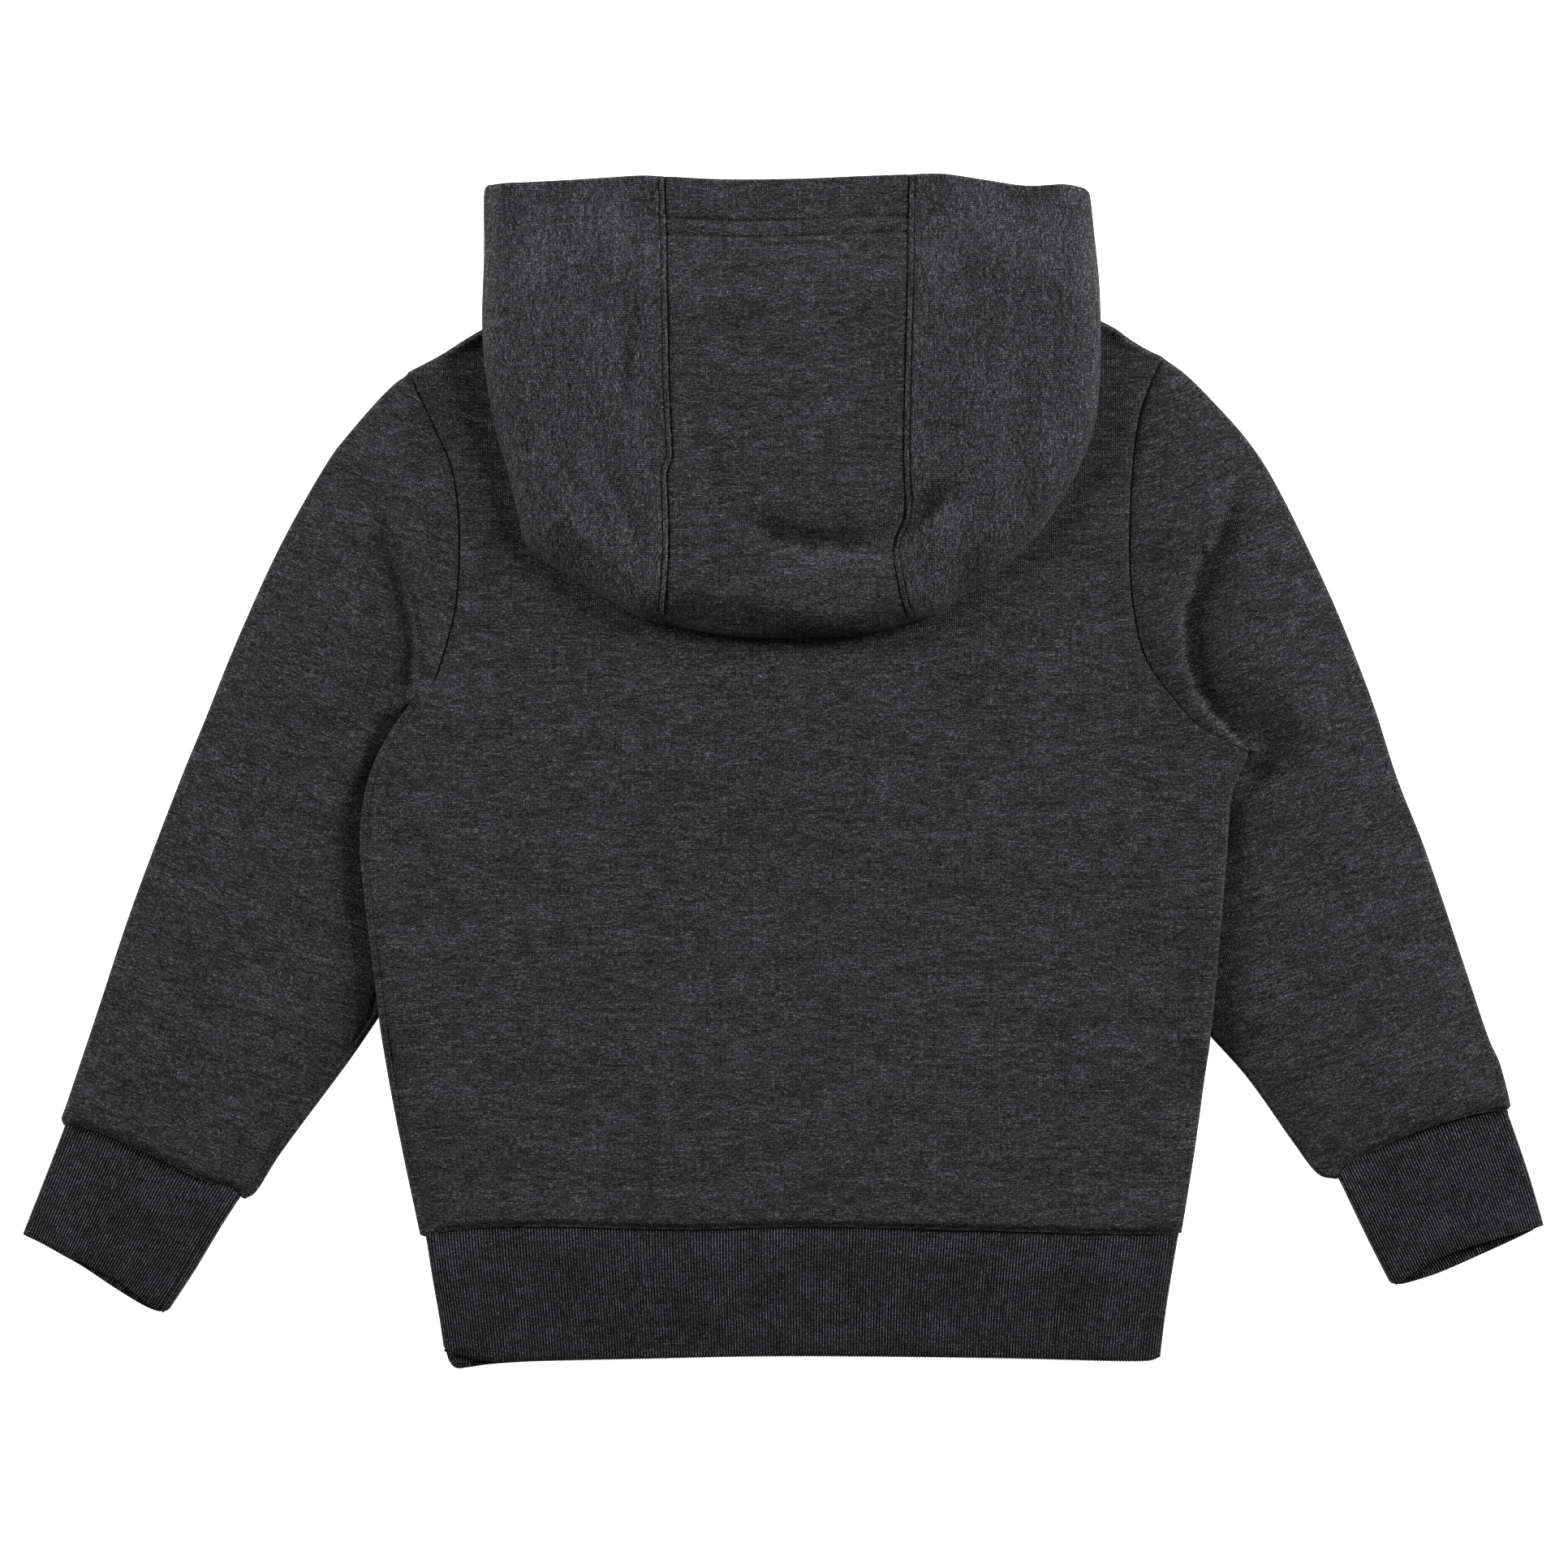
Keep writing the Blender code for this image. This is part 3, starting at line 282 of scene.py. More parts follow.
def heatherKnit(look):
    material = bpy.data.materials.new(look["name"])
    material.use_nodes = True
    tree = material.node_tree
    shader = tree.nodes["Principled BSDF"]
    place = addNode(tree, "ShaderNodeUVMap", {"uv_map": "clothUV"})
    inMillimetres = addNode(tree, "ShaderNodeMapping", values={"Scale": (1000, 1000, 1000)},
                            links={"Vector": place.outputs["UV"]})
    cloth = inMillimetres.outputs["Vector"]

    # loops of the knit: wales stand side by side, courses lean to a V in each wale
    # their colour is painted darker where the loops meet: painted shade in the knit's small
    # hollows and in a rib's grooves
    wander = addNode(tree, "ShaderNodeTexNoise",
                     values={"Scale": look["wanderScale"], "Detail": 2.0},
                     links={"Vector": cloth})
    centred = addNode(tree, "ShaderNodeVectorMath", {"operation": "SUBTRACT"},
                      {1: (0.5, 0.5, 0.5)}, {0: wander.outputs["Color"]})
    moved = addNode(tree, "ShaderNodeVectorMath", {"operation": "MULTIPLY_ADD"},
                    {1: (look["wander"],) * 3}, {0: centred.outputs["Vector"], 2: cloth})
    split = addNode(tree, "ShaderNodeSeparateXYZ", links={"Vector": moved.outputs["Vector"]})
    waleCount = addNode(tree, "ShaderNodeMath", {"operation": "DIVIDE"}, {1: look["wale"]},
                        {0: split.outputs["X"]})
    waleSaw = addNode(tree, "ShaderNodeMath", {"operation": "PINGPONG"}, {1: 0.5},
                      {0: waleCount.outputs["Value"]})
    lean = addNode(tree, "ShaderNodeMath", {"operation": "MULTIPLY"}, {1: look["lean"]},
                   {0: waleSaw.outputs["Value"]})
    courseCount = addNode(tree, "ShaderNodeMath", {"operation": "DIVIDE"}, {1: look["course"]},
                          {0: split.outputs["Y"]})
    leaning = addNode(tree, "ShaderNodeMath", {"operation": "ADD"},
                      links={0: courseCount.outputs["Value"], 1: lean.outputs["Value"]})
    courseSaw = addNode(tree, "ShaderNodeMath", {"operation": "PINGPONG"}, {1: 0.5},
                        {0: leaning.outputs["Value"]})
    waleRound = addNode(tree, "ShaderNodeMapRange", {"interpolation_type": "SMOOTHSTEP"},
                        {"From Max": 0.5}, {"Value": waleSaw.outputs["Value"]})
    courseRound = addNode(tree, "ShaderNodeMapRange", {"interpolation_type": "SMOOTHSTEP"},
                          {"From Max": 0.5}, {"Value": courseSaw.outputs["Value"]})
    loops = addNode(tree, "ShaderNodeMix", values={"Factor": look["courseShare"]},
                    links={"A": waleRound.outputs["Result"], "B": courseRound.outputs["Result"]})

    # melange yarn: pale and dark fibres mixed, in flecks, streaks along a course and clouds, laid
    # over the loops' painted shade
    melange = addNode(tree, "ShaderNodeMath", {"operation": "MULTIPLY_ADD"},
                      {1: look["loopShadeShare"], 2: look["base"]}, {0: loops.outputs["Result"]})
    for across, along, detail, share in look["melange"]:
        fleckPlace = addNode(tree, "ShaderNodeMapping",
                             values={"Scale": (1 / across, 1 / along, 1.0)},
                             links={"Vector": cloth})
        flecks = addNode(tree, "ShaderNodeTexNoise", values={"Scale": 1.0, "Detail": detail},
                         links={"Vector": fleckPlace.outputs["Vector"]})
        melange = addNode(tree, "ShaderNodeMath", {"operation": "MULTIPLY_ADD"}, {1: share},
                          {0: flecks.outputs["Fac"], 2: melange.outputs["Value"]})
    shades = addNode(tree, "ShaderNodeValToRGB", links={"Fac": melange.outputs["Value"]})
    ramp = shades.color_ramp
    while len(ramp.elements) < len(look["shades"]):
        ramp.elements.new(0.5)
    for stop, (share, code) in zip(ramp.elements, look["shades"]):
        stop.position = share
        stop.color = toLinear(code)

    # neps: single pale knots of fibre, well apart
    nepPlace = addNode(tree, "ShaderNodeTexNoise",
                       values={"Scale": 1 / look["nepSize"], "Detail": 0.0},
                       links={"Vector": cloth})
    neps = addNode(tree, "ShaderNodeMapRange",
                   values={"From Min": look["nepFrom"], "From Max": look["nepFull"]},
                   links={"Value": nepPlace.outputs["Fac"]})
    colour = addNode(tree, "ShaderNodeMix", {"data_type": "RGBA"},
                     {"B": toLinear(look["nepColour"])},
                     {"Factor": neps.outputs["Result"], "A": shades.outputs["Color"]})

    relief = addNode(tree, "ShaderNodeMath", {"operation": "MULTIPLY_ADD"},
                     {1: look["wanderRelief"]},
                     {0: wander.outputs["Fac"], 2: loops.outputs["Result"]})
    bump = addNode(tree, "ShaderNodeBump",
                   values={"Strength": look["bump"], "Distance": look["bumpHeight"] * mm},
                   links={"Height": relief.outputs["Value"]})
    tree.links.new(colour.outputs["Result"], shader.inputs["Base Color"])
    tree.links.new(bump.outputs["Normal"], shader.inputs["Normal"])
    shader.inputs["Roughness"].default_value = look["roughness"]
    shader.inputs["Specular IOR Level"].default_value = look["specular"]
    shader.inputs["Sheen Weight"].default_value = look["sheen"]
    shader.inputs["Sheen Roughness"].default_value = look["sheenRoughness"]
    return material


# cotton and polyester fleece, knitted as single jersey and brushed inside: melange yarn
# gives the eye dark and pale specks in short streaks along each course, and no gloss;
# a wale is 0.86 mm wide and a course 0.66 mm high, about what sweatshirt fleece measures
fleeceLook = {
    "name": "melangeJerseyFleece", "wale": 0.86, "course": 0.66, "lean": 1.0, "wander": 0.35,
    "wanderScale": 0.7, "wanderRelief": 0.5, "courseShare": 0.5, "loopShadeShare": 0.18,
    "base": -0.495,
    "melange": (  # millimetres along a course, millimetres across it, detail, share
        (0.6, 0.45, 0.0, 0.62), (1.7, 0.8, 1.0, 0.62), (7.0, 2.0, 2.0, 0.4),
        (30.0, 10.0, 1.0, 0.15)),
    "shades": ((0.12, "#060606"), (0.38, "#181718"), (0.6, "#302f31"), (0.92, "#666468")),
    "nepSize": 1.0, "nepFrom": 0.88, "nepFull": 0.93, "nepColour": "#7c7b80",
    "bump": 0.7, "bumpHeight": 0.35, "sheen": 0.02, "sheenRoughness": 0.45,
    "roughness": 0.94, "specular": 0.03,
}
# the hood's sides are cut across the grain, which catches a little more light
crossGrainLook = dict(
    fleeceLook, name="melangeJerseyFleeceAcross", base=-0.46,
    melange=((0.6, 0.5, 0.0, 0.62), (1.4, 0.9, 1.0, 0.62), (4.0, 2.0, 2.0, 0.4),
             (30.0, 10.0, 1.0, 0.16)))
# the same yarn knitted as rib with elastane: denser, darker and a little cooler; its loops lie on
# the ribs, so that the grooves are painted dark and the ridges light, a painted shade
ribLook = dict(
    fleeceLook, name="melangeRib", wale=1.15, course=0.6, lean=0.4, courseShare=0.2,
    loopShadeShare=0.66, base=-0.655, wander=0.1,
    melange=((0.5, 0.5, 0.0, 0.5), (1.2, 0.9, 1.0, 0.48), (4.0, 3.0, 2.0, 0.3),
             (22.0, 14.0, 1.0, 0.18)),
    shades=((0.12, "#050505"), (0.38, "#131213"), (0.6, "#272528"), (0.88, "#5c5a5f")),
)
# on the cuffs the grooves are painted a little darker and the ridges lighter than on the
# waistband, a stronger painted shade, so that their ribs stand out more
cuffLook = dict(ribLook, name="melangeRibCuff", loopShadeShare=0.7, base=-0.67)

# spun polyester thread, near black, slightly shinier than the cloth: its twisted fibres vary
# the shade about every 0.4 mm, which gives the eye a broken dark line; its near black is
# partly the thread's own colour and partly painted shade of the sewn groove it lies in
threadAndGrooveShadeLook = {"name": "spunPolyesterThreadAndGrooveShade", "twist": 0.4, "roughness": 0.7,
              "shades": ("#030303", "#0e0e10")}


def sewingThread(look):
    material = bpy.data.materials.new(look["name"])
    material.use_nodes = True
    tree = material.node_tree
    shader = tree.nodes["Principled BSDF"]
    place = addNode(tree, "ShaderNodeTexCoord")
    twist = addNode(tree, "ShaderNodeTexNoise",
                    values={"Scale": 1 / (look["twist"] * mm), "Detail": 2.0},
                    links={"Vector": place.outputs["Object"]})
    shades = addNode(tree, "ShaderNodeValToRGB", links={"Fac": twist.outputs["Fac"]})
    for stop, code in zip(shades.color_ramp.elements, look["shades"]):
        stop.color = toLinear(code)
    tree.links.new(shades.outputs["Color"], shader.inputs["Base Color"])
    shader.inputs["Roughness"].default_value = look["roughness"]
    return material


fleece = heatherKnit(fleeceLook)
crossGrain = heatherKnit(crossGrainLook)
ribKnit = heatherKnit(ribLook)
cuffKnit = heatherKnit(cuffLook)
thread = sewingThread(threadAndGrooveShadeLook)
print("materials ready")

hoodCut = {
    "seamLeft": ((-46.9, 56.8), (-45.5, 71.5), (-44.6, 87.0), (-44.7, 97.0), (-45.2, 111.0),
                 (-45.2, 116.0), (-43.4, 120.6), (-43.3, 126.0), (-44.4, 149.0),
                 (-45.2, 190.0), (-46.4, 231.1)),
    "seamRight": ((48.2, 57.2), (44.6, 72.0), (42.8, 88.1), (46.9, 101.0),
                  (46.5, 125.3), (47.4, 165.0), (48.4, 205.0), (48.8, 231.9)),
    "edgeLeft": ((-100.6, 88.9), (-102.0, 92.4), (-103.4, 99.8), (-106.6, 112.8),
                 (-109.4, 123.4), (-112.6, 134.6), (-115.6, 152.0), (-117.3, 172.8),
                 (-117.0, 200.0), (-117.1, 220.0), (-116.8, 226.6), (-115.6, 228.4)),
    "edgeRight": ((98.5, 90.8), (109.0, 106.8), (116.8, 122.0), (121.6, 138.0),
                  (123.2, 160.0), (122.9, 189.3), (121.0, 212.0), (119.9, 222.0),
                  (119.2, 225.6), (117.6, 227.2)),
    "roundLeft": ((-46.9, 56.8), (-57.0, 60.2), (-67.6, 66.2), (-83.4, 75.6),
                  (-92.8, 81.3), (-98.2, 85.6), (-100.6, 88.9)),
    "roundRight": ((48.2, 57.2), (60.0, 61.0), (71.8, 69.4), (85.1, 78.3), (98.5, 90.8)),
    "bottom": ((-46.9, 56.8), (-28.0, 53.4), (-8.0, 51.6), (14.0, 51.8), (34.0, 53.4),
               (48.2, 57.2)),
    "topLeft": ((-46.4, 231.1), (-56.0, 231.5), (-71.0, 230.6), (-95.0, 229.1),
                (-115.6, 228.4)),
    "topCentre": ((-46.4, 231.1), (-22.0, 230.0), (5.0, 230.3), (31.0, 231.4),
                  (48.8, 231.9)),
    "topRight": ((48.8, 231.9), (61.2, 232.2), (78.0, 229.9), (94.0, 227.6),
                 (109.0, 228.2), (117.6, 227.2)),
    "underSeamLeft": ((-46.9, 56.8), (-45.6, 110.0), (-45.0, 150.0), (-46.0, 180.9)),
    "underSeamRight": ((48.2, 57.2), (46.0, 100.0), (46.4, 150.0), (47.0, 181.4)),
    "neck": ((-46.0, 180.9), (-20.0, 178.6), (10.0, 178.2), (47.0, 181.4)),
    "lipLeft": ((-46.0, 180.9), (-79.0, 203.0), (-115.6, 228.4)),
    "lipRight": ((47.0, 181.4), (80.0, 202.0), (117.6, 227.2)),
    "sideWidth": 72.0, "centreWidth": 94.0, "length": 175.0, "step": 1.2, "thickness": 1.8,
    # it rests on the back, rolls over its folds and sinks beyond the shoulders
    "rest": 6.6, "fold": 1.9, "crown": 11.5, "roll": 10.0, "wideRoll": 9.0,
    "openingCrown": 10.0, "drop": 34.0, "dropFrom": 1.5, "pressReach": 10.0,
    "rollBend": (1.5, -0.2), "rollRise": (0.6, 0.2),  # powers, and what a wide roll adds
    "clearFrom": 1.0, "clearReach": 6.0, "ripple": 1.2,
    # its sewing: grooves and raised bands, each with its depth and its width
    "seamGroove": (0.5, 0.5), "seamDip": (0.35, 1.6), "lip": (0.6, 6.0), "lipEdge": 0.8,
    "stitchGroove": (0.75, 0.4), "stitchAt": 2.2, "hemDepth": 24.0, "hemHeight": 0.45,
    "hemSoft": 1.5, "hemRows": (16.6, 23.0), "rowWidth": 0.7, "rowStep": 0.8, "sideRow": 0.35,
    "centreRow": 0.95, "topTurn": 1.6, "topFade": 4.0,
    "sideFlat": (0.15, 0.185), "sideArea": {"Left": 0.0209, "Right": 0.0218},
    "centreFlat": (0.095, 0.315), "centreArea": 0.0293,
}
# each of the hood's folds, and how far it presses into the body's cloth
hoodFolds = {"edgeLeft": 2.4, "roundLeft": 2.2, "bottom": 1.6, "roundRight": 1.0,
             "edgeRight": 1.2}

bodyCut = {
    "sideLeft": ((-141.9, -180.8), (-149.9, -142.7), (-155.3, -113.0), (-159.3, -80.6),
                 (-163.4, -47.2), (-164.9, -25.0), (-161.9, -3.8), (-154.8, 12.4),
                 (-146.8, 24.4)),
    "sideRight": ((155.2, -180.0), (161.1, -142.7), (166.2, -101.9), (169.4, -68.5),
                  (172.4, -32.0), (174.5, -8.9), (181.0, 6.8)),
    "armholeLeft": ((-146.8, 24.4), (-137.3, 33.1), (-131.2, 50.1), (-127.2, 68.2),
                    (-126.4, 95.0), (-129.1, 117.0), (-135.8, 133.4), (-146.3, 155.6)),
    "armholeRight": ((181.0, 6.8), (162.5, 17.0), (150.4, 30.3), (140.7, 44.9),
                     (136.1, 65.0), (134.8, 85.6), (135.6, 112.2), (138.8, 138.8),
                     (147.6, 161.6)),
    "shoulderLeft": ((-146.3, 155.6), (-133.5, 162.4), (-117.6, 172.2), (-79.0, 193.0)),
    "shoulderRight": ((80.0, 194.0), (123.2, 175.7), (134.4, 168.8), (141.0, 164.7),
                      (147.6, 161.6)),
    "backNeck": ((-79.0, 193.0), (-60.0, 184.5), (-35.0, 179.5), (0.0, 178.0),
                 (35.0, 179.8), (60.0, 185.0), (80.0, 194.0)),
    "frontNeck": ((-79.0, 193.0), (-70.0, 170.0), (-48.0, 149.0), (0.0, 139.0),
                  (48.0, 149.5), (71.0, 171.0), (80.0, 194.0)),
    "hem": ((-141.9, -180.8), (-137.5, -181.4), (-128.0, -178.8), (-95.0, -177.4),
            (-40.0, -178.6), (10.0, -177.6), (70.0, -178.8), (120.0, -180.2),
            (148.0, -180.4), (155.2, -180.0)),
    "width": 320.0, "length": 360.0, "step": 2.1, "underarm": 0.56, "neck": (0.23, 0.77),
    "sideSeam": {"inside": 3.0, "groove": 0.7, "grooveWidth": 0.5},
    "armSeam": {"groove": 0.95, "grooveWidth": 0.55, "dip": 0.6, "dipWidth": 2.2,
                "from": 0.03, "over": 0.12},
    "neckMiddle": (0.0, 172.0), "neckReach": (62.0, 30.0), "neckSink": 1.6,
    "thickness": 1.8, "flat": (0.346, 0.375), "area": {"backNeck": 0.110, "frontNeck": 0.105},
}
sleeveCut = {
    "outLeft": ((-146.3, 155.6), (-147.7, 153.9), (-152.0, 150.8), (-158.6, 144.2),
                (-169.2, 132.0), (-178.7, 119.3), (-196.7, 87.2), (-213.4, 50.5),
                (-226.1, 19.0), (-235.8, -4.6), (-253.9, -52.3), (-268.0, -94.8),
                (-279.4, -128.8), (-281.6, -135.0), (-281.0, -137.8)),
    "inLeft": ((-170.9, -115.0), (-195.4, -148.0), (-205.2, -163.4), (-210.0, -167.0)),
    "endLeft": ((-281.0, -137.8), (-278.4, -138.4), (-268.8, -139.9), (-249.6, -148.0),
                (-226.9, -159.1), (-217.0, -163.0), (-210.0, -167.0)),
    "outRight": ((147.6, 161.6), (148.8, 160.5), (157.2, 154.3), (167.4, 144.1),
                 (179.4, 130.8), (189.4, 116.3), (201.2, 93.5), (215.3, 63.4),
                 (229.1, 28.5), (239.4, -3.2), (250.7, -32.0), (265.7, -76.6),
                 (274.5, -103.0), (279.3, -114.0), (283.2, -128.8), (282.8, -131.7)),
    "inRight": ((181.2, -120.2), (198.1, -144.1), (208.0, -157.0), (215.5, -159.3)),
    "endRight": ((282.8, -131.7), (280.2, -132.2), (265.9, -134.4), (243.4, -141.7),
                 (224.0, -151.4), (215.5, -159.3)),
    "width": 85.0, "length": 320.0, "step": 1.9, "turn": 0.42, "apex": 0.41,
    "inner": (0.3, 0.65), "outer": (0.47, 0.72), "fade": 8, "thickness": 1.8,
    "crown": 8.8, "rise": 14.0,
    # its inner fold is tucked under the body's side, which stands up on it
    "tuckUnder": 5.0, "tuckLength": 125.0, "tuckIn": 9.0, "tuckOut": 16.0,
    "tuckedFold": 1.9, "tuckedReach": 7.0, "tuckedRise": 19.0, "tuckLift": 5.0,
    "tuckWidth": 14.0, "tuckDrop": 7.0,
    # the cloth of its lap lies still near the fold, and is soft at its edge
    "tipBelow": 2.0, "tipReach": 8.0, "lapSoft": 4.0, "hangReach": 3.0, "stillReach": 12.0,
    "sideSeam": {"inside": 2.9, "groove": 0.5, "grooveWidth": 0.55},
    "flat": (0.17, 0.325), "area": {"Left": 0.0498, "Right": 0.0479},
}
# shallow hollows of the body and the sleeves; a width is given left and right of the line
clothTroughs = (
    {"line": ((-176.0, -20.0), (-186.0, -60.0), (-180.0, -96.0)), "depth": 0.5,
     "width": (14.0, 14.0), "fade": 0.4},
    {"line": ((196.0, 60.0), (189.0, 20.0), (186.0, -30.0), (192.0, -76.0)),
     "depth": 0.6, "width": (12.0, 12.0), "fade": 0.4},
    {"line": ((-120.0, -40.0), (0.0, -48.0), (130.0, -42.0)), "depth": 2.2,
     "width": (62.0, 62.0), "fade": 0.4},
)
# a sleeve's cloth laps over itself beside the armhole, down to the underarm
sleeveLaps = {
    "Left": {"line": ((-163.0, 114.0), (-156.6, 98.0), (-149.5, 78.0), (-144.6, 60.0),
                      (-143.4, 44.0), (-144.6, 32.0), (-146.8, 24.4)),
             "height": 2.6, "width": 13.0, "round": 8.0, "edge": 4.4, "overhang": 0.0,
             "dip": 2.7, "dipWidth": 16.0, "puff": 1.4, "puffAt": 28.0, "puffWidth": 14.0,
             "fadeIn": 0.5},
    "Right": {"line": ((177.0, 121.0), (169.8, 98.3), (161.3, 81.3), (155.4, 64.0),
                       (154.9, 49.8), (158.5, 34.6), (166.1, 22.1), (181.0, 7.6)),
              "height": 4.0, "width": 15.0, "round": 2.4, "edge": 4.4, "overhang": 0.7,
              "dip": 3.4, "dipWidth": 13.0, "puff": 1.8, "puffAt": 24.0, "puffWidth": 13.0,
              "fadeIn": 0.3},
}


def tuckedStretch(side):
    # the part of the body's side under which a sleeve's inner fold is tucked
    return at(curve(bodyCut["side" + side]), np.linspace(sleeveCut["apex"], 1.0, 40))


def lifted(plan, side, under):
    # the body's side stands up on the tucked sleeve, and its lower layer drops just beyond
    d = np.linalg.norm(fromLine(plan, tuckedStretch(side))[0], axis=-1)
    if under:
        beyond = smoothStep((d - sleeveCut["tuckUnder"]) / sleeveCut["tuckDrop"])
        return sleeveCut["tuckLift"] * (1 - beyond)
    return sleeveCut["tuckLift"] * fall(d, sleeveCut["tuckWidth"])


def raised(plan, side):
    lap = sleeveLaps[side]
    away, share = signedDistance(plan, lap["line"])
    return lap["height"] * fall(away, lap["width"]) * smoothStep(share / lap["fadeIn"])


def layHeights(plan, dSide, radius, crown, reach, under):
    folds = (bodyCut["shoulderLeft"], bodyCut["shoulderRight"], sleeveCut["outLeft"],
             sleeveCut["outRight"])
    d = np.minimum.reduce([distance(plan, rows) for rows in folds])
    if under:
        return np.maximum(underFold(d, lie["fold"]), underFold(dSide, radius))
    height = np.minimum(overFold(d, lie["fold"], crown, lie["crownReach"]),
                        overFold(dSide, radius, crown, reach))
    dip = troughs(plan, clothTroughs)
    seam = bodyCut["armSeam"]
    for rows in (bodyCut["armholeLeft"], bodyCut["armholeRight"]):
        dSeam, share = signedDistance(plan, rows)
        sewn = seam["groove"] * fall(dSeam, seam["grooveWidth"])
        sewn += seam["dip"] * fall(dSeam, seam["dipWidth"])
        dip += sewn * smoothStep((share - seam["from"]) / seam["over"])
    neck = (plan - bodyCut["neckMiddle"]) / bodyCut["neckReach"]
    dip += bodyCut["neckSink"] * fall(np.linalg.norm(neck, axis=-1), 1.0)
    pressed = [press * fall(distance(plan, hoodCut[name]), hoodCut["pressReach"])
               for name, press in hoodFolds.items()]
    dip += np.maximum.reduce(pressed)
    for rows in (bodyCut["hem"], sleeveCut["endLeft"], sleeveCut["endRight"]):
        dip += lie["hemRoll"] * fall(distance(plan, rows), lie["hemReach"])
    nearest = np.minimum(d, dSide)
    away = smoothStep((nearest - lie["rippleFrom"]) / lie["rippleReach"])
    return height - dip * offFold(nearest) + rippled(plan) * away


def bodyLayer(neck, under):
    step = bodyCut["step"] * (2 if under else 1)  # the hidden layer has wider steps
    u = rowShares(bodyCut["width"], step)
    v = rowShares(bodyCut["length"], step)
    breaks = (bodyCut["underarm"],)
    left = chain((curve(bodyCut["sideLeft"]), curve(bodyCut["armholeLeft"])), breaks, v)
    right = chain((curve(bodyCut["sideRight"]), curve(bodyCut["armholeRight"])), breaks, v)
    top = chain((curve(bodyCut["shoulderLeft"]), curve(bodyCut[neck]),
                 curve(bodyCut["shoulderRight"])), bodyCut["neck"], u)
    plan = patch(left, right, at(curve(bodyCut["hem"]), u), top, u, v)
    sides = (bodyCut["sideLeft"], bodyCut["sideRight"])
    dSide = np.minimum(*[distance(plan, rows) for rows in sides])
    laid = clothMap(plan, sides, lie["fold"], 0.0)
    height = layHeights(plan, dSide, lie["fold"], lie["crown"], lie["crownReach"], under)
    if not under:
        height -= besideFold(distance(plan, bodyCut["sideLeft"]), bodyCut["sideSeam"])
    for side in ("Left", "Right"):
        lift = lifted(plan, side, under)
        height += lift if under else np.maximum(lift, raised(plan, side))
    return plan, height, laid, not under


backPanel = makeCloth("backPanel", (bodyLayer("backNeck", False),), bodyCut["thickness"],
                      fleece, "back_panel")
frontPanel = makeCloth("frontPanel", (bodyLayer("frontNeck", True),), bodyCut["thickness"],
                       fleece, "front_panel")
print("body done")


def lapOver(plan, height, side, inner, dIn, under):
    # the strip between the lap's edge and the armhole stands up, the cloth beyond it sinks
    lap = sleeveLaps[side]
    away, share = signedDistance(plan, lap["line"])
    d = np.abs(away)
    strip = (away * inner > 0) & (share < 0.9995)
    tip = bodyCut["armhole" + side][0][1]
    above = plan[..., 1] - tip + sleeveCut["tipBelow"]
    lift = lifted(plan, side, under) * smoothStep(above / sleeveCut["tipReach"])
    if under:
        height += np.where(strip, lift * (1 - fall(d, sleeveCut["lapSoft"])), 0.0)
        return
    fadeIn = smoothStep(share / lap["fadeIn"])
    rounded = np.clip(1 - d / lap["round"], 0.0, 1.0)
    edge = lap["edge"] * (1 - np.sqrt(1 - rounded ** 2)) * fadeIn
    beyond = lap["puff"] * fall(d - lap["puffAt"], lap["puffWidth"])
    beyond -= lap["dip"] * fall(d, lap["dipWidth"])
    beyond *= fadeIn * smoothStep(dIn / sleeveCut["stillReach"])
    height += np.where(strip, np.maximum(lift, raised(plan, side)) - edge, beyond)
    outward = -fromLine(plan, curve(lap["line"]))[0] / np.maximum(d, 0.05)[..., None]
    reach = lap["overhang"] * fall(d, sleeveCut["hangReach"]) * fadeIn * strip
    plan += outward * reach[..., None]


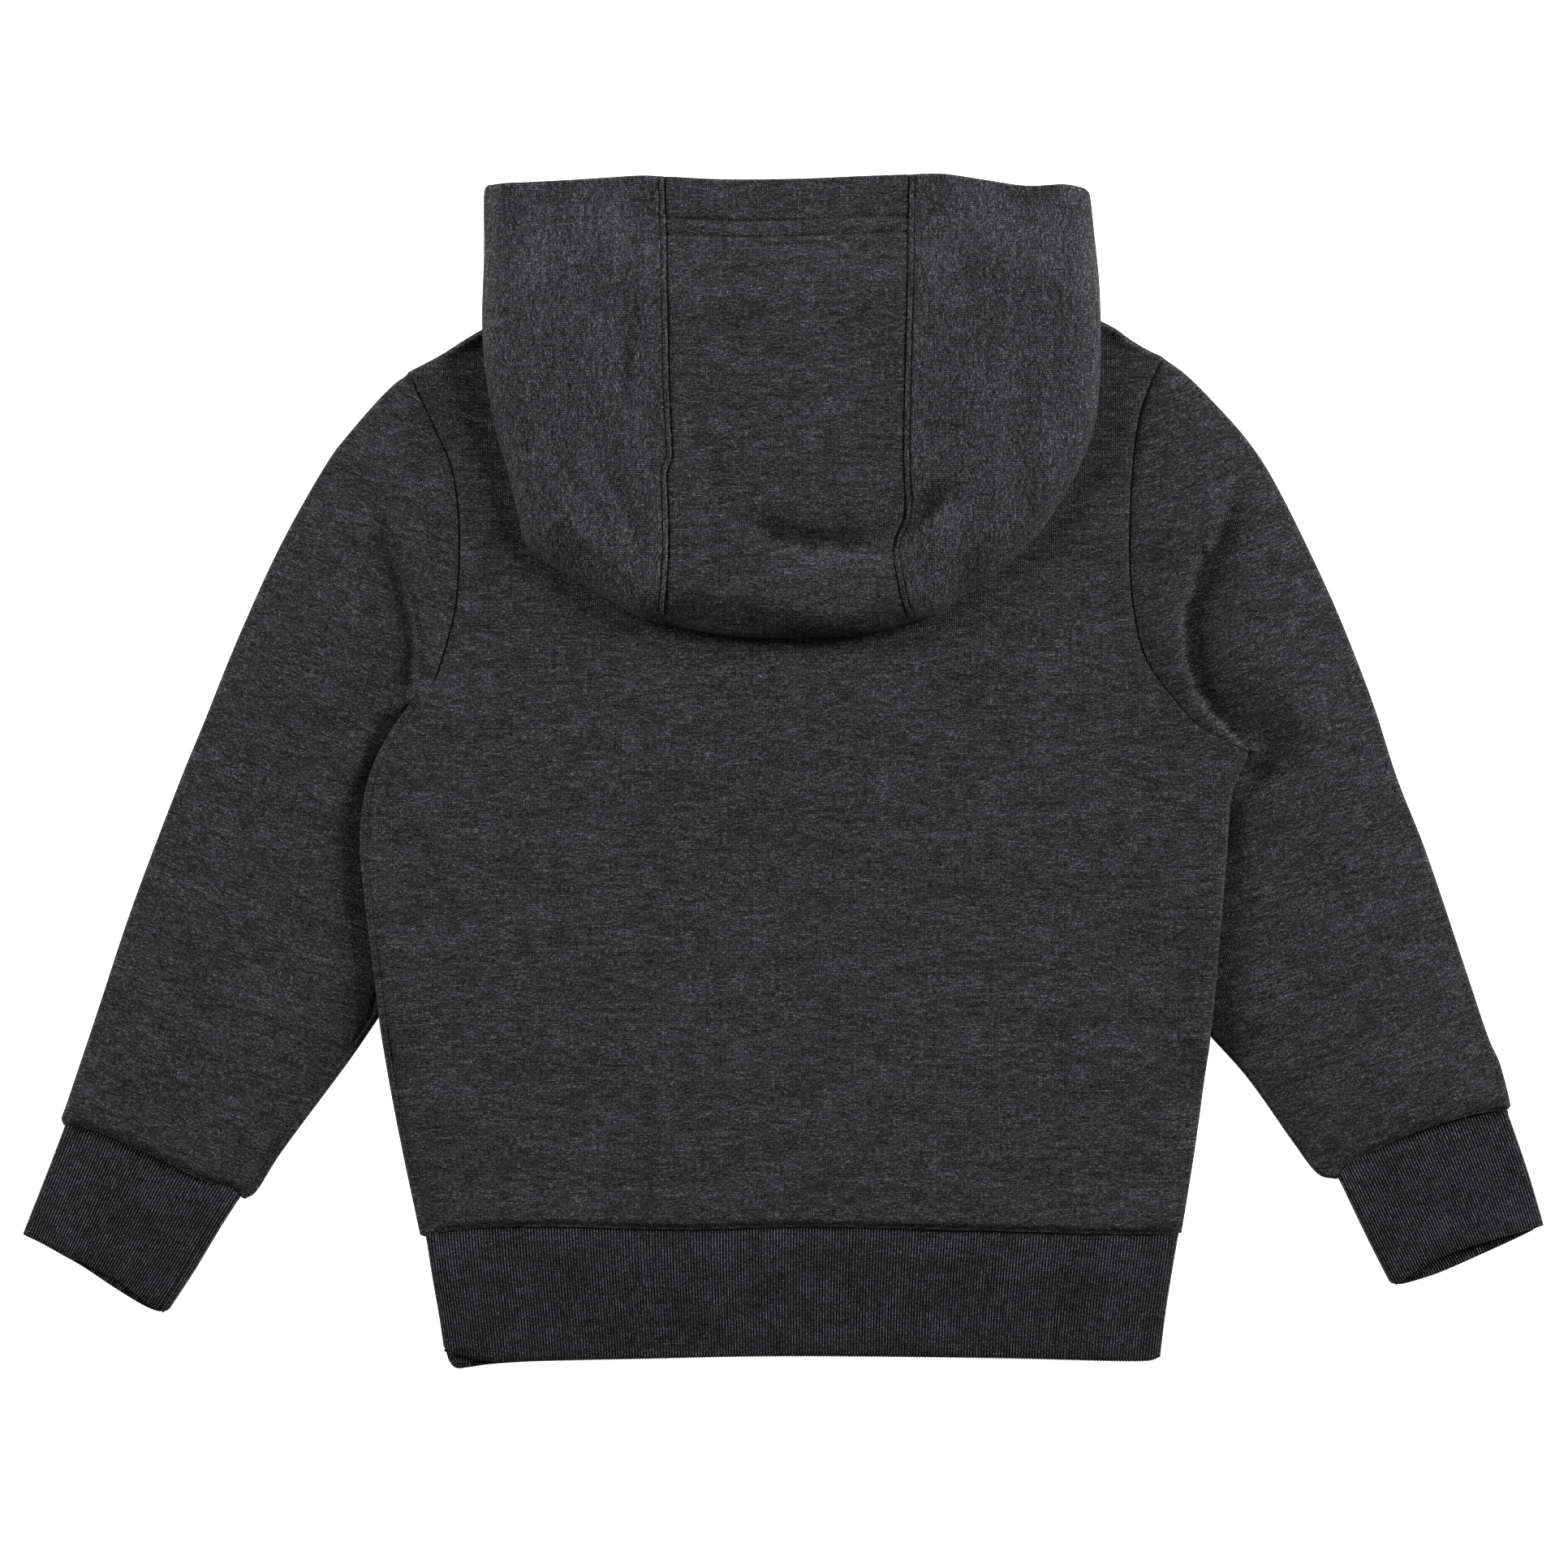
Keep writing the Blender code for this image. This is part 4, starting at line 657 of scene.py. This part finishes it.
def sleeveLayer(side, under):
    inner = -1 if side == "Right" else 1
    u = rowShares(sleeveCut["width"], sleeveCut["step"])
    v = rowShares(sleeveCut["length"], sleeveCut["step"])
    seam = curve(bodyCut["armhole" + side])
    tucked = tuckedStretch(side)[::-1]
    run = np.linspace(0.0, sleeveCut["tuckLength"], len(tucked))
    depth = smoothStep(run / sleeveCut["tuckIn"])
    depth *= smoothStep((run[-1] - run) / sleeveCut["tuckOut"])
    tucked[:, 0] += inner * sleeveCut["tuckUnder"] * depth
    free = curve((tuple(tucked[-1]),) + sleeveCut["in" + side])
    lower = at(seam, np.linspace(sleeveCut["turn"], 0.0, 60))
    innerLine = chain((lower, tucked, free), sleeveCut["inner"], v)
    outerShare = np.interp(v, (0.0,) + sleeveCut["inner"] + (1.0,),
                           (0.0,) + sleeveCut["outer"] + (1.0,))
    outer = at(curve(sleeveCut["out" + side]), outerShare)
    start = at(seam, 1 - u * (1 - sleeveCut["turn"]))
    end = at(curve(sleeveCut["end" + side]), u)
    plan = patch(outer, innerLine, start, end, u, v, sleeveCut["fade"])
    innerFold = np.vstack((tucked, free[1:]))
    dIn = np.linalg.norm(fromLine(plan, innerFold)[0], axis=-1)
    below = smoothStep((tucked[0, 1] - plan[..., 1]) / sleeveCut["tuckedReach"])
    radius = lie["fold"] - (lie["fold"] - sleeveCut["tuckedFold"]) * below
    reach = lie["crownReach"] + (sleeveCut["tuckedRise"] - lie["crownReach"]) * below
    fromSeam = 1 - fall(distance(plan, bodyCut["armhole" + side]), sleeveCut["rise"])
    crown = lie["crown"] + (sleeveCut["crown"] - lie["crown"]) * fromSeam
    height = layHeights(plan, dIn, radius, crown, reach, under)
    if side == "Left" and not under:
        height -= besideFold(dIn, sleeveCut["sideSeam"]) * below
    lapOver(plan, height, side, inner, dIn, under)
    grain = math.degrees(math.atan2(end[-1, 0] + end[0, 0] - 2 * seam[-1, 0],
                                    2 * seam[-1, 1] - end[-1, 1] - end[0, 1]))
    laid = clothMap(plan, (sleeveCut["out" + side],), lie["fold"], grain)
    return plan, height, laid, not under


for side, node in (("Left", "sleeve_left"), ("Right", "sleeve_right")):
    sleeve = makeCloth("sleeve" + side, (sleeveLayer(side, False), sleeveLayer(side, True)),
                       sleeveCut["thickness"], fleece, node)
print("sleeves done")

# one by one rib: a ridge every 1.15 mm, flat in the folds; its raw edge is sewn inside the
# fleece and its other edge is a fold, with a bead beside it
rib = {
    "pitch": 1.15, "depth": 0.36, "perRib": 4, "sharp": 0.6, "thickness": 2.2, "crown": 6.4,
    "tuckIn": 1.8, "tuck": 2.1, "tuckReach": 3.0, "rim": 1.1, "beadAt": 1.6, "beadWidth": 0.9,
    "curl": 0.75, "curlReach": 6.0, "curlFade": 5.0, "gapeReach": 14.0,
    # rows of points: how far each of the first is from the raw edge, and how many follow
    "rows": (0.0, 0.05, 0.18, 0.42, 0.8, 1.4, 2.2, 3.2, 4.6), "edgeRows": 6, "middleRows": 6,
}
waistbandCut = {
    "left": ((-139.4, -182.8), (-137.2, -197.0), (-134.4, -213.0), (-132.7, -224.4)),
    "right": ((153.9, -181.2), (151.2, -197.0), (148.6, -214.0), (146.9, -228.4)),
    "start": ((-139.4, -182.8), (-136.0, -181.4), (-128.0, -178.9), (-95.0, -177.2),
              (-40.0, -178.4), (10.0, -177.4), (70.0, -178.6), (120.0, -180.0),
              (153.9, -180.6)),
    "end": ((-132.7, -224.4), (-130.2, -226.2), (-126.5, -227.6), (-118.0, -229.3),
            (-104.0, -229.8), (-60.0, -228.9), (0.0, -227.8), (80.0, -228.5),
            (136.0, -229.8), (146.9, -228.4)),
    "endUnder": ((-132.7, -224.4), (-131.0, -228.6), (-129.2, -231.4), (-126.8, -232.6),
                 (-122.6, -232.2), (-113.0, -231.0), (-93.4, -229.9), (-60.0, -229.1),
                 (0.0, -228.0), (80.0, -228.7), (136.0, -230.0), (146.9, -228.4)),
    "gape": 0.0, "bead": 0.5, "flat": (0.588, 0.049),
}
cuffLeftCut = {
    "left": ((-280.4, -138.4), (-286.7, -155.0), (-296.7, -180.4)),
    "right": ((-212.6, -167.2), (-220.7, -179.9), (-228.3, -192.8), (-236.4, -205.3),
              (-238.8, -208.9), (-240.2, -210.4)),
    "start": ((-280.4, -138.0), (-268.4, -139.8), (-249.4, -147.9), (-226.9, -159.0),
              (-217.6, -162.8), (-212.6, -166.6)),
    "end": ((-296.7, -180.4), (-282.4, -186.7), (-273.1, -190.9), (-259.7, -197.8),
            (-253.1, -202.6), (-246.4, -208.0), (-242.6, -210.3), (-240.2, -210.4)),
    "endUnder": ((-296.7, -180.4), (-282.4, -188.2), (-273.1, -193.4), (-259.7, -202.1),
                 (-249.1, -208.6), (-243.0, -211.0), (-240.2, -210.4)),
    "gape": 0.6, "bead": 0.5, "flat": (0.146, 0.048),
    "sideSeam": {"inside": 3.4, "groove": 0.7, "grooveWidth": 0.5},
}
cuffRightCut = {
    "left": ((282.4, -133.2), (290.3, -156.2), (296.4, -177.0)),
    "right": ((216.8, -159.9), (228.3, -183.9), (233.8, -194.6), (235.5, -198.2),
              (236.9, -199.8)),
    "start": ((282.4, -132.6), (265.8, -133.9), (243.4, -141.6), (224.0, -151.3),
              (217.2, -159.0)),
    "end": ((296.4, -177.0), (286.9, -179.4), (274.7, -182.7), (262.6, -186.4),
            (254.0, -190.0), (244.0, -195.9), (239.4, -199.2), (236.9, -199.8)),
    "endUnder": ((296.4, -177.0), (286.9, -181.6), (268.6, -189.6), (254.0, -195.8),
                 (243.0, -199.5), (239.4, -200.3), (236.9, -199.8)),
    "gape": 1.6, "bead": 0.5, "flat": (0.142, 0.048),
}


def makeRibbed(name, cut, material, node):
    left = curve(cut["left"])
    right = curve(cut["right"])
    inward = left[0] + right[0] - left[-1] - right[-1]
    inward *= rib["tuckIn"] / np.linalg.norm(inward)
    left = np.vstack((left[0] + inward, left))
    right = np.vstack((right[0] + inward, right))
    width = np.linalg.norm(np.array(cut["start"][0]) - cut["start"][-1])
    length = np.linalg.norm(left[0] - left[-1])
    ribCount = int(width / rib["pitch"])
    u = np.linspace(0.0, 1.0, rib["perRib"] * ribCount + 1)
    near = np.array(rib["rows"]) / length
    edge = near[:rib["edgeRows"]]
    middle = np.linspace(near[-1], 1 - edge[-1], rib["middleRows"])[1:-1]
    v = np.concatenate((near, middle, 1 - edge[::-1]))
    turns = np.arange(len(u)) / rib["perRib"]
    ridge = np.abs(np.sin(math.pi * turns)) ** rib["sharp"]
    grain = math.degrees(math.atan2(right[-1, 0] + left[-1, 0] - right[0, 0] - left[0, 0],
                                    right[0, 1] + left[0, 1] - right[-1, 1] - left[-1, 1]))
    layers = []
    for under in (False, True):
        end = cut["endUnder"] if under else cut["end"]
        plan = patch(at(left, v), at(right, v), at(curve(cut["start"]) + inward, u),
                     at(curve(end), u), u, v)
        d = np.minimum(distance(plan, cut["left"]), distance(plan, cut["right"]))
        toEdge = ((1 - v) * length)[:, None]
        sunk = fall(np.clip(v * length - rib["tuckIn"], 0.0, None), rib["tuckReach"])[:, None]
        turned = np.clip(1 - toEdge / rib["rim"], 0.0, 1.0)
        rim = rib["rim"] * (1 - np.sqrt(1 - turned ** 2))
        rim -= cut["bead"] * fall(toEdge - rib["beadAt"], rib["beadWidth"])
        flat = offFold(d)
        if under:
            beyond = np.linalg.norm(at(curve(end), u) - at(curve(cut["end"]), u), axis=1)
            curl = rib["curl"] * beyond * smoothStep(1 - toEdge / rib["curlReach"])
            height = underFold(d, lie["fold"]) + curl * smoothStep(d / rib["curlFade"])
            height += (0.5 * rib["depth"] + rim + sunk) * flat
        else:
            gape = cut["gape"] * np.sin(math.pi * u)
            gape = gape * smoothStep(1 - toEdge / rib["gapeReach"])
            height = overFold(d, lie["fold"], rib["crown"], lie["crownReach"])
            if "sideSeam" in cut:
                height -= besideFold(distance(plan, cut["right"]), cut["sideSeam"])
            height += (0.5 * rippled(plan) - rib["tuck"] * sunk - rim) * flat + gape
        laid = clothMap(plan, (cut["left"], cut["right"]), lie["fold"], grain)
        # this lays the loops' dark borders on the ribs' grooves: painted shade in the grooves
        laid[..., 0] = rib["pitch"] * turns  # so that the yarn follows the ribs
        shown = 0.5 if under else 1.0
        layers.append((plan, height, laid, not under, ridge * flat * shown))
    piece = makeCloth(name, layers, rib["thickness"], material, node)
    shares = np.empty(len(piece.data.vertices), np.float32)
    piece.data.attributes["ribShare"].data.foreach_get("value", shares)
    ridges = piece.vertex_groups.new(name="ribs")
    for index, share in enumerate(shares.tolist()):
        ridges.add((index,), share, "REPLACE")
    stand = piece.modifiers.new("ribs", "DISPLACE")
    stand.vertex_group = "ribs"
    stand.mid_level = 0.0
    stand.strength = rib["depth"] * mm
    return piece


for name, cut, material, node in (("hemRib", waistbandCut, ribKnit, "waistband"),
                                  ("cuffLeft", cuffLeftCut, cuffKnit, "cuff_left"),
                                  ("cuffRight", cuffRightCut, cuffKnit, "cuff_right")):
    makeRibbed(name, cut, material, node)
print("ribs done")

# creases pressed into the hood; a depth below nought is a ridge
hoodTroughs = (
    {"line": ((30.0, 75.0), (40.0, 84.5), (48.8, 93.6), (57.0, 101.4), (72.0, 114.0)),
     "depth": 6.3, "width": (7.2, 5.8), "fade": 0.36},
    {"line": ((48.0, 80.0), (60.0, 91.0), (72.0, 103.0)), "depth": -1.2, "width": (6.0, 8.0),
     "fade": 0.4},
    {"line": ((-20.0, 95.0), (-6.0, 91.5), (6.0, 87.5), (22.0, 87.0), (40.0, 83.0)),
     "depth": 5.5, "width": (6.2, 5.0), "fade": 0.3},
    {"line": ((16.0, 90.0), (24.0, 95.5), (31.0, 101.0)), "depth": 1.4, "width": (5.0, 3.5),
     "fade": 0.45},
    {"line": ((-20.0, 71.0), (8.0, 68.0), (34.0, 70.0)), "depth": -1.2, "width": (8.0, 8.0),
     "fade": 0.4},
    {"line": ((-59.0, 186.0), (-59.8, 168.0), (-61.0, 148.0), (-64.0, 126.0)), "depth": 3.4,
     "width": (6.0, 4.5), "fade": 0.4},
    {"line": ((-78.0, 190.0), (-80.0, 162.0), (-77.0, 134.0)), "depth": -1.2,
     "width": (8.0, 8.0), "fade": 0.4},
    {"line": ((-74.0, 120.0), (-66.0, 110.5), (-60.0, 96.0), (-55.0, 78.0)), "depth": 1.9,
     "width": (3.4, 3.4), "fade": 0.4},
    {"line": ((-84.0, 120.0), (-78.0, 104.0), (-70.0, 88.0)), "depth": 1.5,
     "width": (4.0, 4.0), "fade": 0.4},
    {"line": ((71.0, 200.0), (72.3, 184.0), (76.0, 164.0)), "depth": 1.1,
     "width": (5.0, 7.0), "fade": 0.4},
)
# where the hood's edge rolls over more widely and straighter: "depth" is how far it does
hoodRolls = (
    {"line": ((-62.0, 62.0), (-42.0, 57.0), (-24.0, 54.5), (-4.0, 52.0), (12.0, 51.0)),
     "depth": 1.0, "width": (26.0, 26.0), "fade": 0.4},
    {"line": ((46.0, 56.0), (70.0, 66.0), (88.0, 80.0), (104.0, 98.0), (118.0, 120.0),
              (123.0, 146.0)), "depth": 0.8, "width": (26.0, 26.0), "fade": 0.3},
    {"line": ((-50.0, 58.0), (-68.0, 66.0), (-86.0, 78.0), (-99.0, 92.0), (-106.0, 112.0),
              (-112.0, 134.0), (-116.0, 160.0)), "depth": 1.0, "width": (28.0, 28.0),
     "fade": 0.3},
)


def hoodHeights(plan, under, sidePanel):
    ridge = curve(bodyCut["shoulderLeft"][:-1] + bodyCut["backNeck"]
                  + bodyCut["shoulderRight"][1:])
    beyond = plan[..., 1] - np.interp(plan[..., 0], ridge[:, 0], ridge[:, 1])
    low = 1 - smoothStep((beyond - hoodCut["dropFrom"]) / hoodCut["drop"])
    rest = hoodCut["rest"] * low
    d = np.minimum.reduce([distance(plan, hoodCut[name]) for name in hoodFolds])
    if under:
        return rest + underFold(d, hoodCut["fold"])
    # the fold is flat below and round above, lower towards the opening
    crown = hoodCut["crown"] * low + hoodCut["openingCrown"] * (1 - low)
    wide = np.clip(troughs(plan, hoodRolls), 0.0, 1.2)
    roll = hoodCut["roll"] * low + hoodCut["openingCrown"] * (1 - low)
    roll += hoodCut["wideRoll"] * wide
    bendPower, risePower = [usual + more * wide
                            for usual, more in (hoodCut["rollBend"], hoodCut["rollRise"])]
    bend = np.clip(1.0 - d / roll, 0.0, 1.0) ** bendPower
    rolled = (1.0 - bend) ** risePower
    height = rest + hoodCut["fold"] + (crown - hoodCut["fold"]) * rolled
    clear = smoothStep((d - hoodCut["clearFrom"]) / hoodCut["clearReach"])
    dSeam = np.minimum(distance(plan, hoodCut["seamLeft"]), distance(plan, hoodCut["seamRight"]))
    for depth, width in (hoodCut["seamGroove"], hoodCut["seamDip"]):
        height -= depth * fall(dSeam, width) * clear
    if sidePanel:
        rise, reach = hoodCut["lip"]
        depth, width = hoodCut["stitchGroove"]
        lip = rise * smoothStep(dSeam / hoodCut["lipEdge"]) * (1 - smoothStep(dSeam / reach))
        height += (lip - depth * fall(dSeam - hoodCut["stitchAt"], width)) * clear
    tops = [distance(plan, hoodCut[name]) for name in ("topLeft", "topCentre", "topRight")]
    dTop = np.minimum.reduce(tops)
    hem = 1 - smoothStep((dTop - hoodCut["hemDepth"]) / hoodCut["hemSoft"])
    rows = sum(fall(dTop - drop, hoodCut["rowWidth"]) for drop in hoodCut["hemRows"])
    rows = rows * hoodCut["sideRow" if sidePanel else "centreRow"]
    height += (hoodCut["hemHeight"] * hem - rows) * clear
    turned = np.clip(1 - dTop / hoodCut["topTurn"], 0.0, 1.0)
    topEdge = hoodCut["topTurn"] * (1 - np.sqrt(1 - turned ** 2))
    height -= topEdge * smoothStep(d / hoodCut["topFade"])
    height -= troughs(plan, hoodTroughs) * clear
    return height + rippled(plan) * clear * hoodCut["ripple"]


def hoodShares():
    # rows from the bottom fold to the opening, with close ones at the two sewn rows
    beside = hoodCut["rowStep"]
    sewn = np.array([row + step for row in hoodCut["hemRows"]
                     for step in (-beside, 0.0, beside)])
    even = rowShares(hoodCut["length"], hoodCut["step"])
    return np.union1d(even, 1 - sewn / hoodCut["length"])


def hoodSide(side, under):
    u = rowShares(hoodCut["sideWidth"], hoodCut["step"])
    v = hoodShares()
    seam = hoodCut[("underSeam" if under else "seam") + side]
    top = hoodCut[("lip" if under else "top") + side]
    plan = patch(at(curve(seam), v), at(curve(hoodCut["edge" + side]), v),
                 at(curve(hoodCut["round" + side]), u), at(curve(top), u), u, v)
    folds = (hoodCut["edge" + side], hoodCut["round" + side])
    laid = clothMap(plan, folds, hoodCut["roll"], 90.0)
    return plan, hoodHeights(plan, under, True), laid, not under


def hoodMiddle(under):
    u = rowShares(hoodCut["centreWidth"], hoodCut["step"])
    v = hoodShares()
    name = "underSeam" if under else "seam"
    plan = patch(at(curve(hoodCut[name + "Left"]), v), at(curve(hoodCut[name + "Right"]), v),
                 at(curve(hoodCut["bottom"]), u),
                 at(curve(hoodCut["neck" if under else "topCentre"]), u), u, v)
    laid = clothMap(plan, (hoodCut["bottom"],), hoodCut["roll"], 0.0)
    return plan, hoodHeights(plan, under, False), laid, not under


for side, node in (("Left", "hood_side_left"), ("Right", "hood_side_right")):
    hoodPanel = makeCloth("hoodSide" + side, (hoodSide(side, False), hoodSide(side, True)),
                          hoodCut["thickness"], crossGrain, node)
hoodCentre = makeCloth("hoodCentre", (hoodMiddle(False), hoodMiddle(True)),
                       hoodCut["thickness"], fleece, "hood_centre")
print("hood done")

sewing = {"pitch": 1.35, "stitch": 1.0, "threadWide": 0.75, "threadHigh": 0.4, "raise": 0.08}


def besideLine(rows, offset):
    line = at(curve(rows), np.linspace(0.0, 1.0, 200))
    run = np.gradient(line, axis=0)
    run /= np.linalg.norm(run, axis=1)[:, None]
    return line + offset * np.stack((-run[:, 1], run[:, 0]), axis=1)


def sewRow(bm, line, sidePanel):
    length = np.linalg.norm(np.diff(line, axis=0), axis=1).sum()
    count = int(length / sewing["pitch"])
    shares = (np.arange(count) + 0.5) / count
    middles = at(line, shares)
    runs = at(line, shares + 0.2 / count) - at(line, shares - 0.2 / count)
    heights = hoodHeights(middles[None], False, sidePanel)[0]
    for middle, run, height in zip(middles, runs, heights):
        stitch = bmesh.ops.create_uvsphere(bm, u_segments=6, v_segments=5, radius=0.5 * mm)
        bmesh.ops.scale(bm, verts=stitch["verts"],
                        vec=(sewing["stitch"], sewing["threadWide"], sewing["threadHigh"]))
        turn = Matrix.Rotation(math.atan2(run[1], run[0]), 3, "Z")
        bmesh.ops.rotate(bm, verts=stitch["verts"], cent=(0, 0, 0), matrix=turn)
        bmesh.ops.translate(bm, verts=stitch["verts"],
                            vec=((middle[0] - centre[0]) * mm, (middle[1] - centre[1]) * mm,
                                 (height + sewing["raise"]) * mm))


def makeStitches(name, rows):
    bm = bmesh.new()
    for line, sidePanel in rows:
        sewRow(bm, line, sidePanel)
    mesh = bpy.data.meshes.new(name)
    bm.to_mesh(mesh)
    bm.free()
    mesh.shade_smooth()
    mesh.materials.append(thread)
    piece = bpy.data.objects.new(name, mesh)
    bpy.context.scene.collection.objects.link(piece)
    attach(piece, "root")
    return piece


makeStitches("hoodSeamStitches", (
    (besideLine(hoodCut["seamLeft"], hoodCut["stitchAt"])[4:-2], True),
    (besideLine(hoodCut["seamRight"], -hoodCut["stitchAt"])[4:-2], True)))
makeStitches("hoodHemStitches", [
    (besideLine(hoodCut["topCentre"], -drop), False) for drop in hoodCut["hemRows"]])
print("sewing done")

floor = {"size": 3.0, "level": -0.3, "colour": "#f6f6f5", "glow": 1.05}
bm = bmesh.new()
bmesh.ops.create_grid(bm, x_segments=2, y_segments=2, size=floor["size"],
                      matrix=Matrix.Translation((0.0, 0.0, floor["level"] * mm)))
floorMesh = bpy.data.meshes.new("floor")
bm.to_mesh(floorMesh)
bm.free()
# opal acrylic of a light table, softly lit from below so that it stays white
floorPaint = bpy.data.materials.new("opalAcrylic")
floorPaint.use_nodes = True
floorShader = floorPaint.node_tree.nodes["Principled BSDF"]
floorShader.inputs["Base Color"].default_value = toLinear(floor["colour"])
floorShader.inputs["Roughness"].default_value = 0.6
floorShader.inputs["Emission Color"].default_value = toLinear(floor["colour"])
floorShader.inputs["Emission Strength"].default_value = floor["glow"]
floorMesh.materials.append(floorPaint)
floorPiece = bpy.data.objects.new("floor", floorMesh)
bpy.context.scene.collection.objects.link(floorPiece)

room = {"height": 1.8, "lens": 105.8, "sensor": 36.0, "aim": -0.0051,
        "sky": "#ffffff", "skyStrength": 0.25,
        "softboxes": (
            {"name": "boxRight", "size": 0.8, "power": 120.0, "place": (1.9, 0.95, 0.8)},
            {"name": "boxLeft", "size": 0.8, "power": 84.0, "place": (-1.9, 0.95, 0.8)},
        )}
camera = bpy.data.objects.new("camera", bpy.data.cameras.new("camera"))
camera.data.lens = room["lens"]
camera.data.sensor_width = room["sensor"]
camera.location = (0.0, room["aim"], room["height"])
bpy.context.scene.collection.objects.link(camera)
bpy.context.scene.camera = camera

for box in room["softboxes"]:
    lamp = bpy.data.lights.new(box["name"], "AREA")
    lamp.shape = "SQUARE"
    lamp.size = box["size"]
    lamp.energy = box["power"]
    softbox = bpy.data.objects.new(box["name"], lamp)
    softbox.location = box["place"]
    toMiddle = -softbox.location
    softbox.rotation_euler = toMiddle.to_track_quat("-Z", "Y").to_euler()
    bpy.context.scene.collection.objects.link(softbox)

world = bpy.data.worlds.new("studio")
world.use_nodes = True
world.node_tree.nodes["Background"].inputs["Color"].default_value = toLinear(room["sky"])
world.node_tree.nodes["Background"].inputs["Strength"].default_value = room["skyStrength"]
bpy.context.scene.world = world
bpy.context.scene.view_settings.view_transform = "Standard"
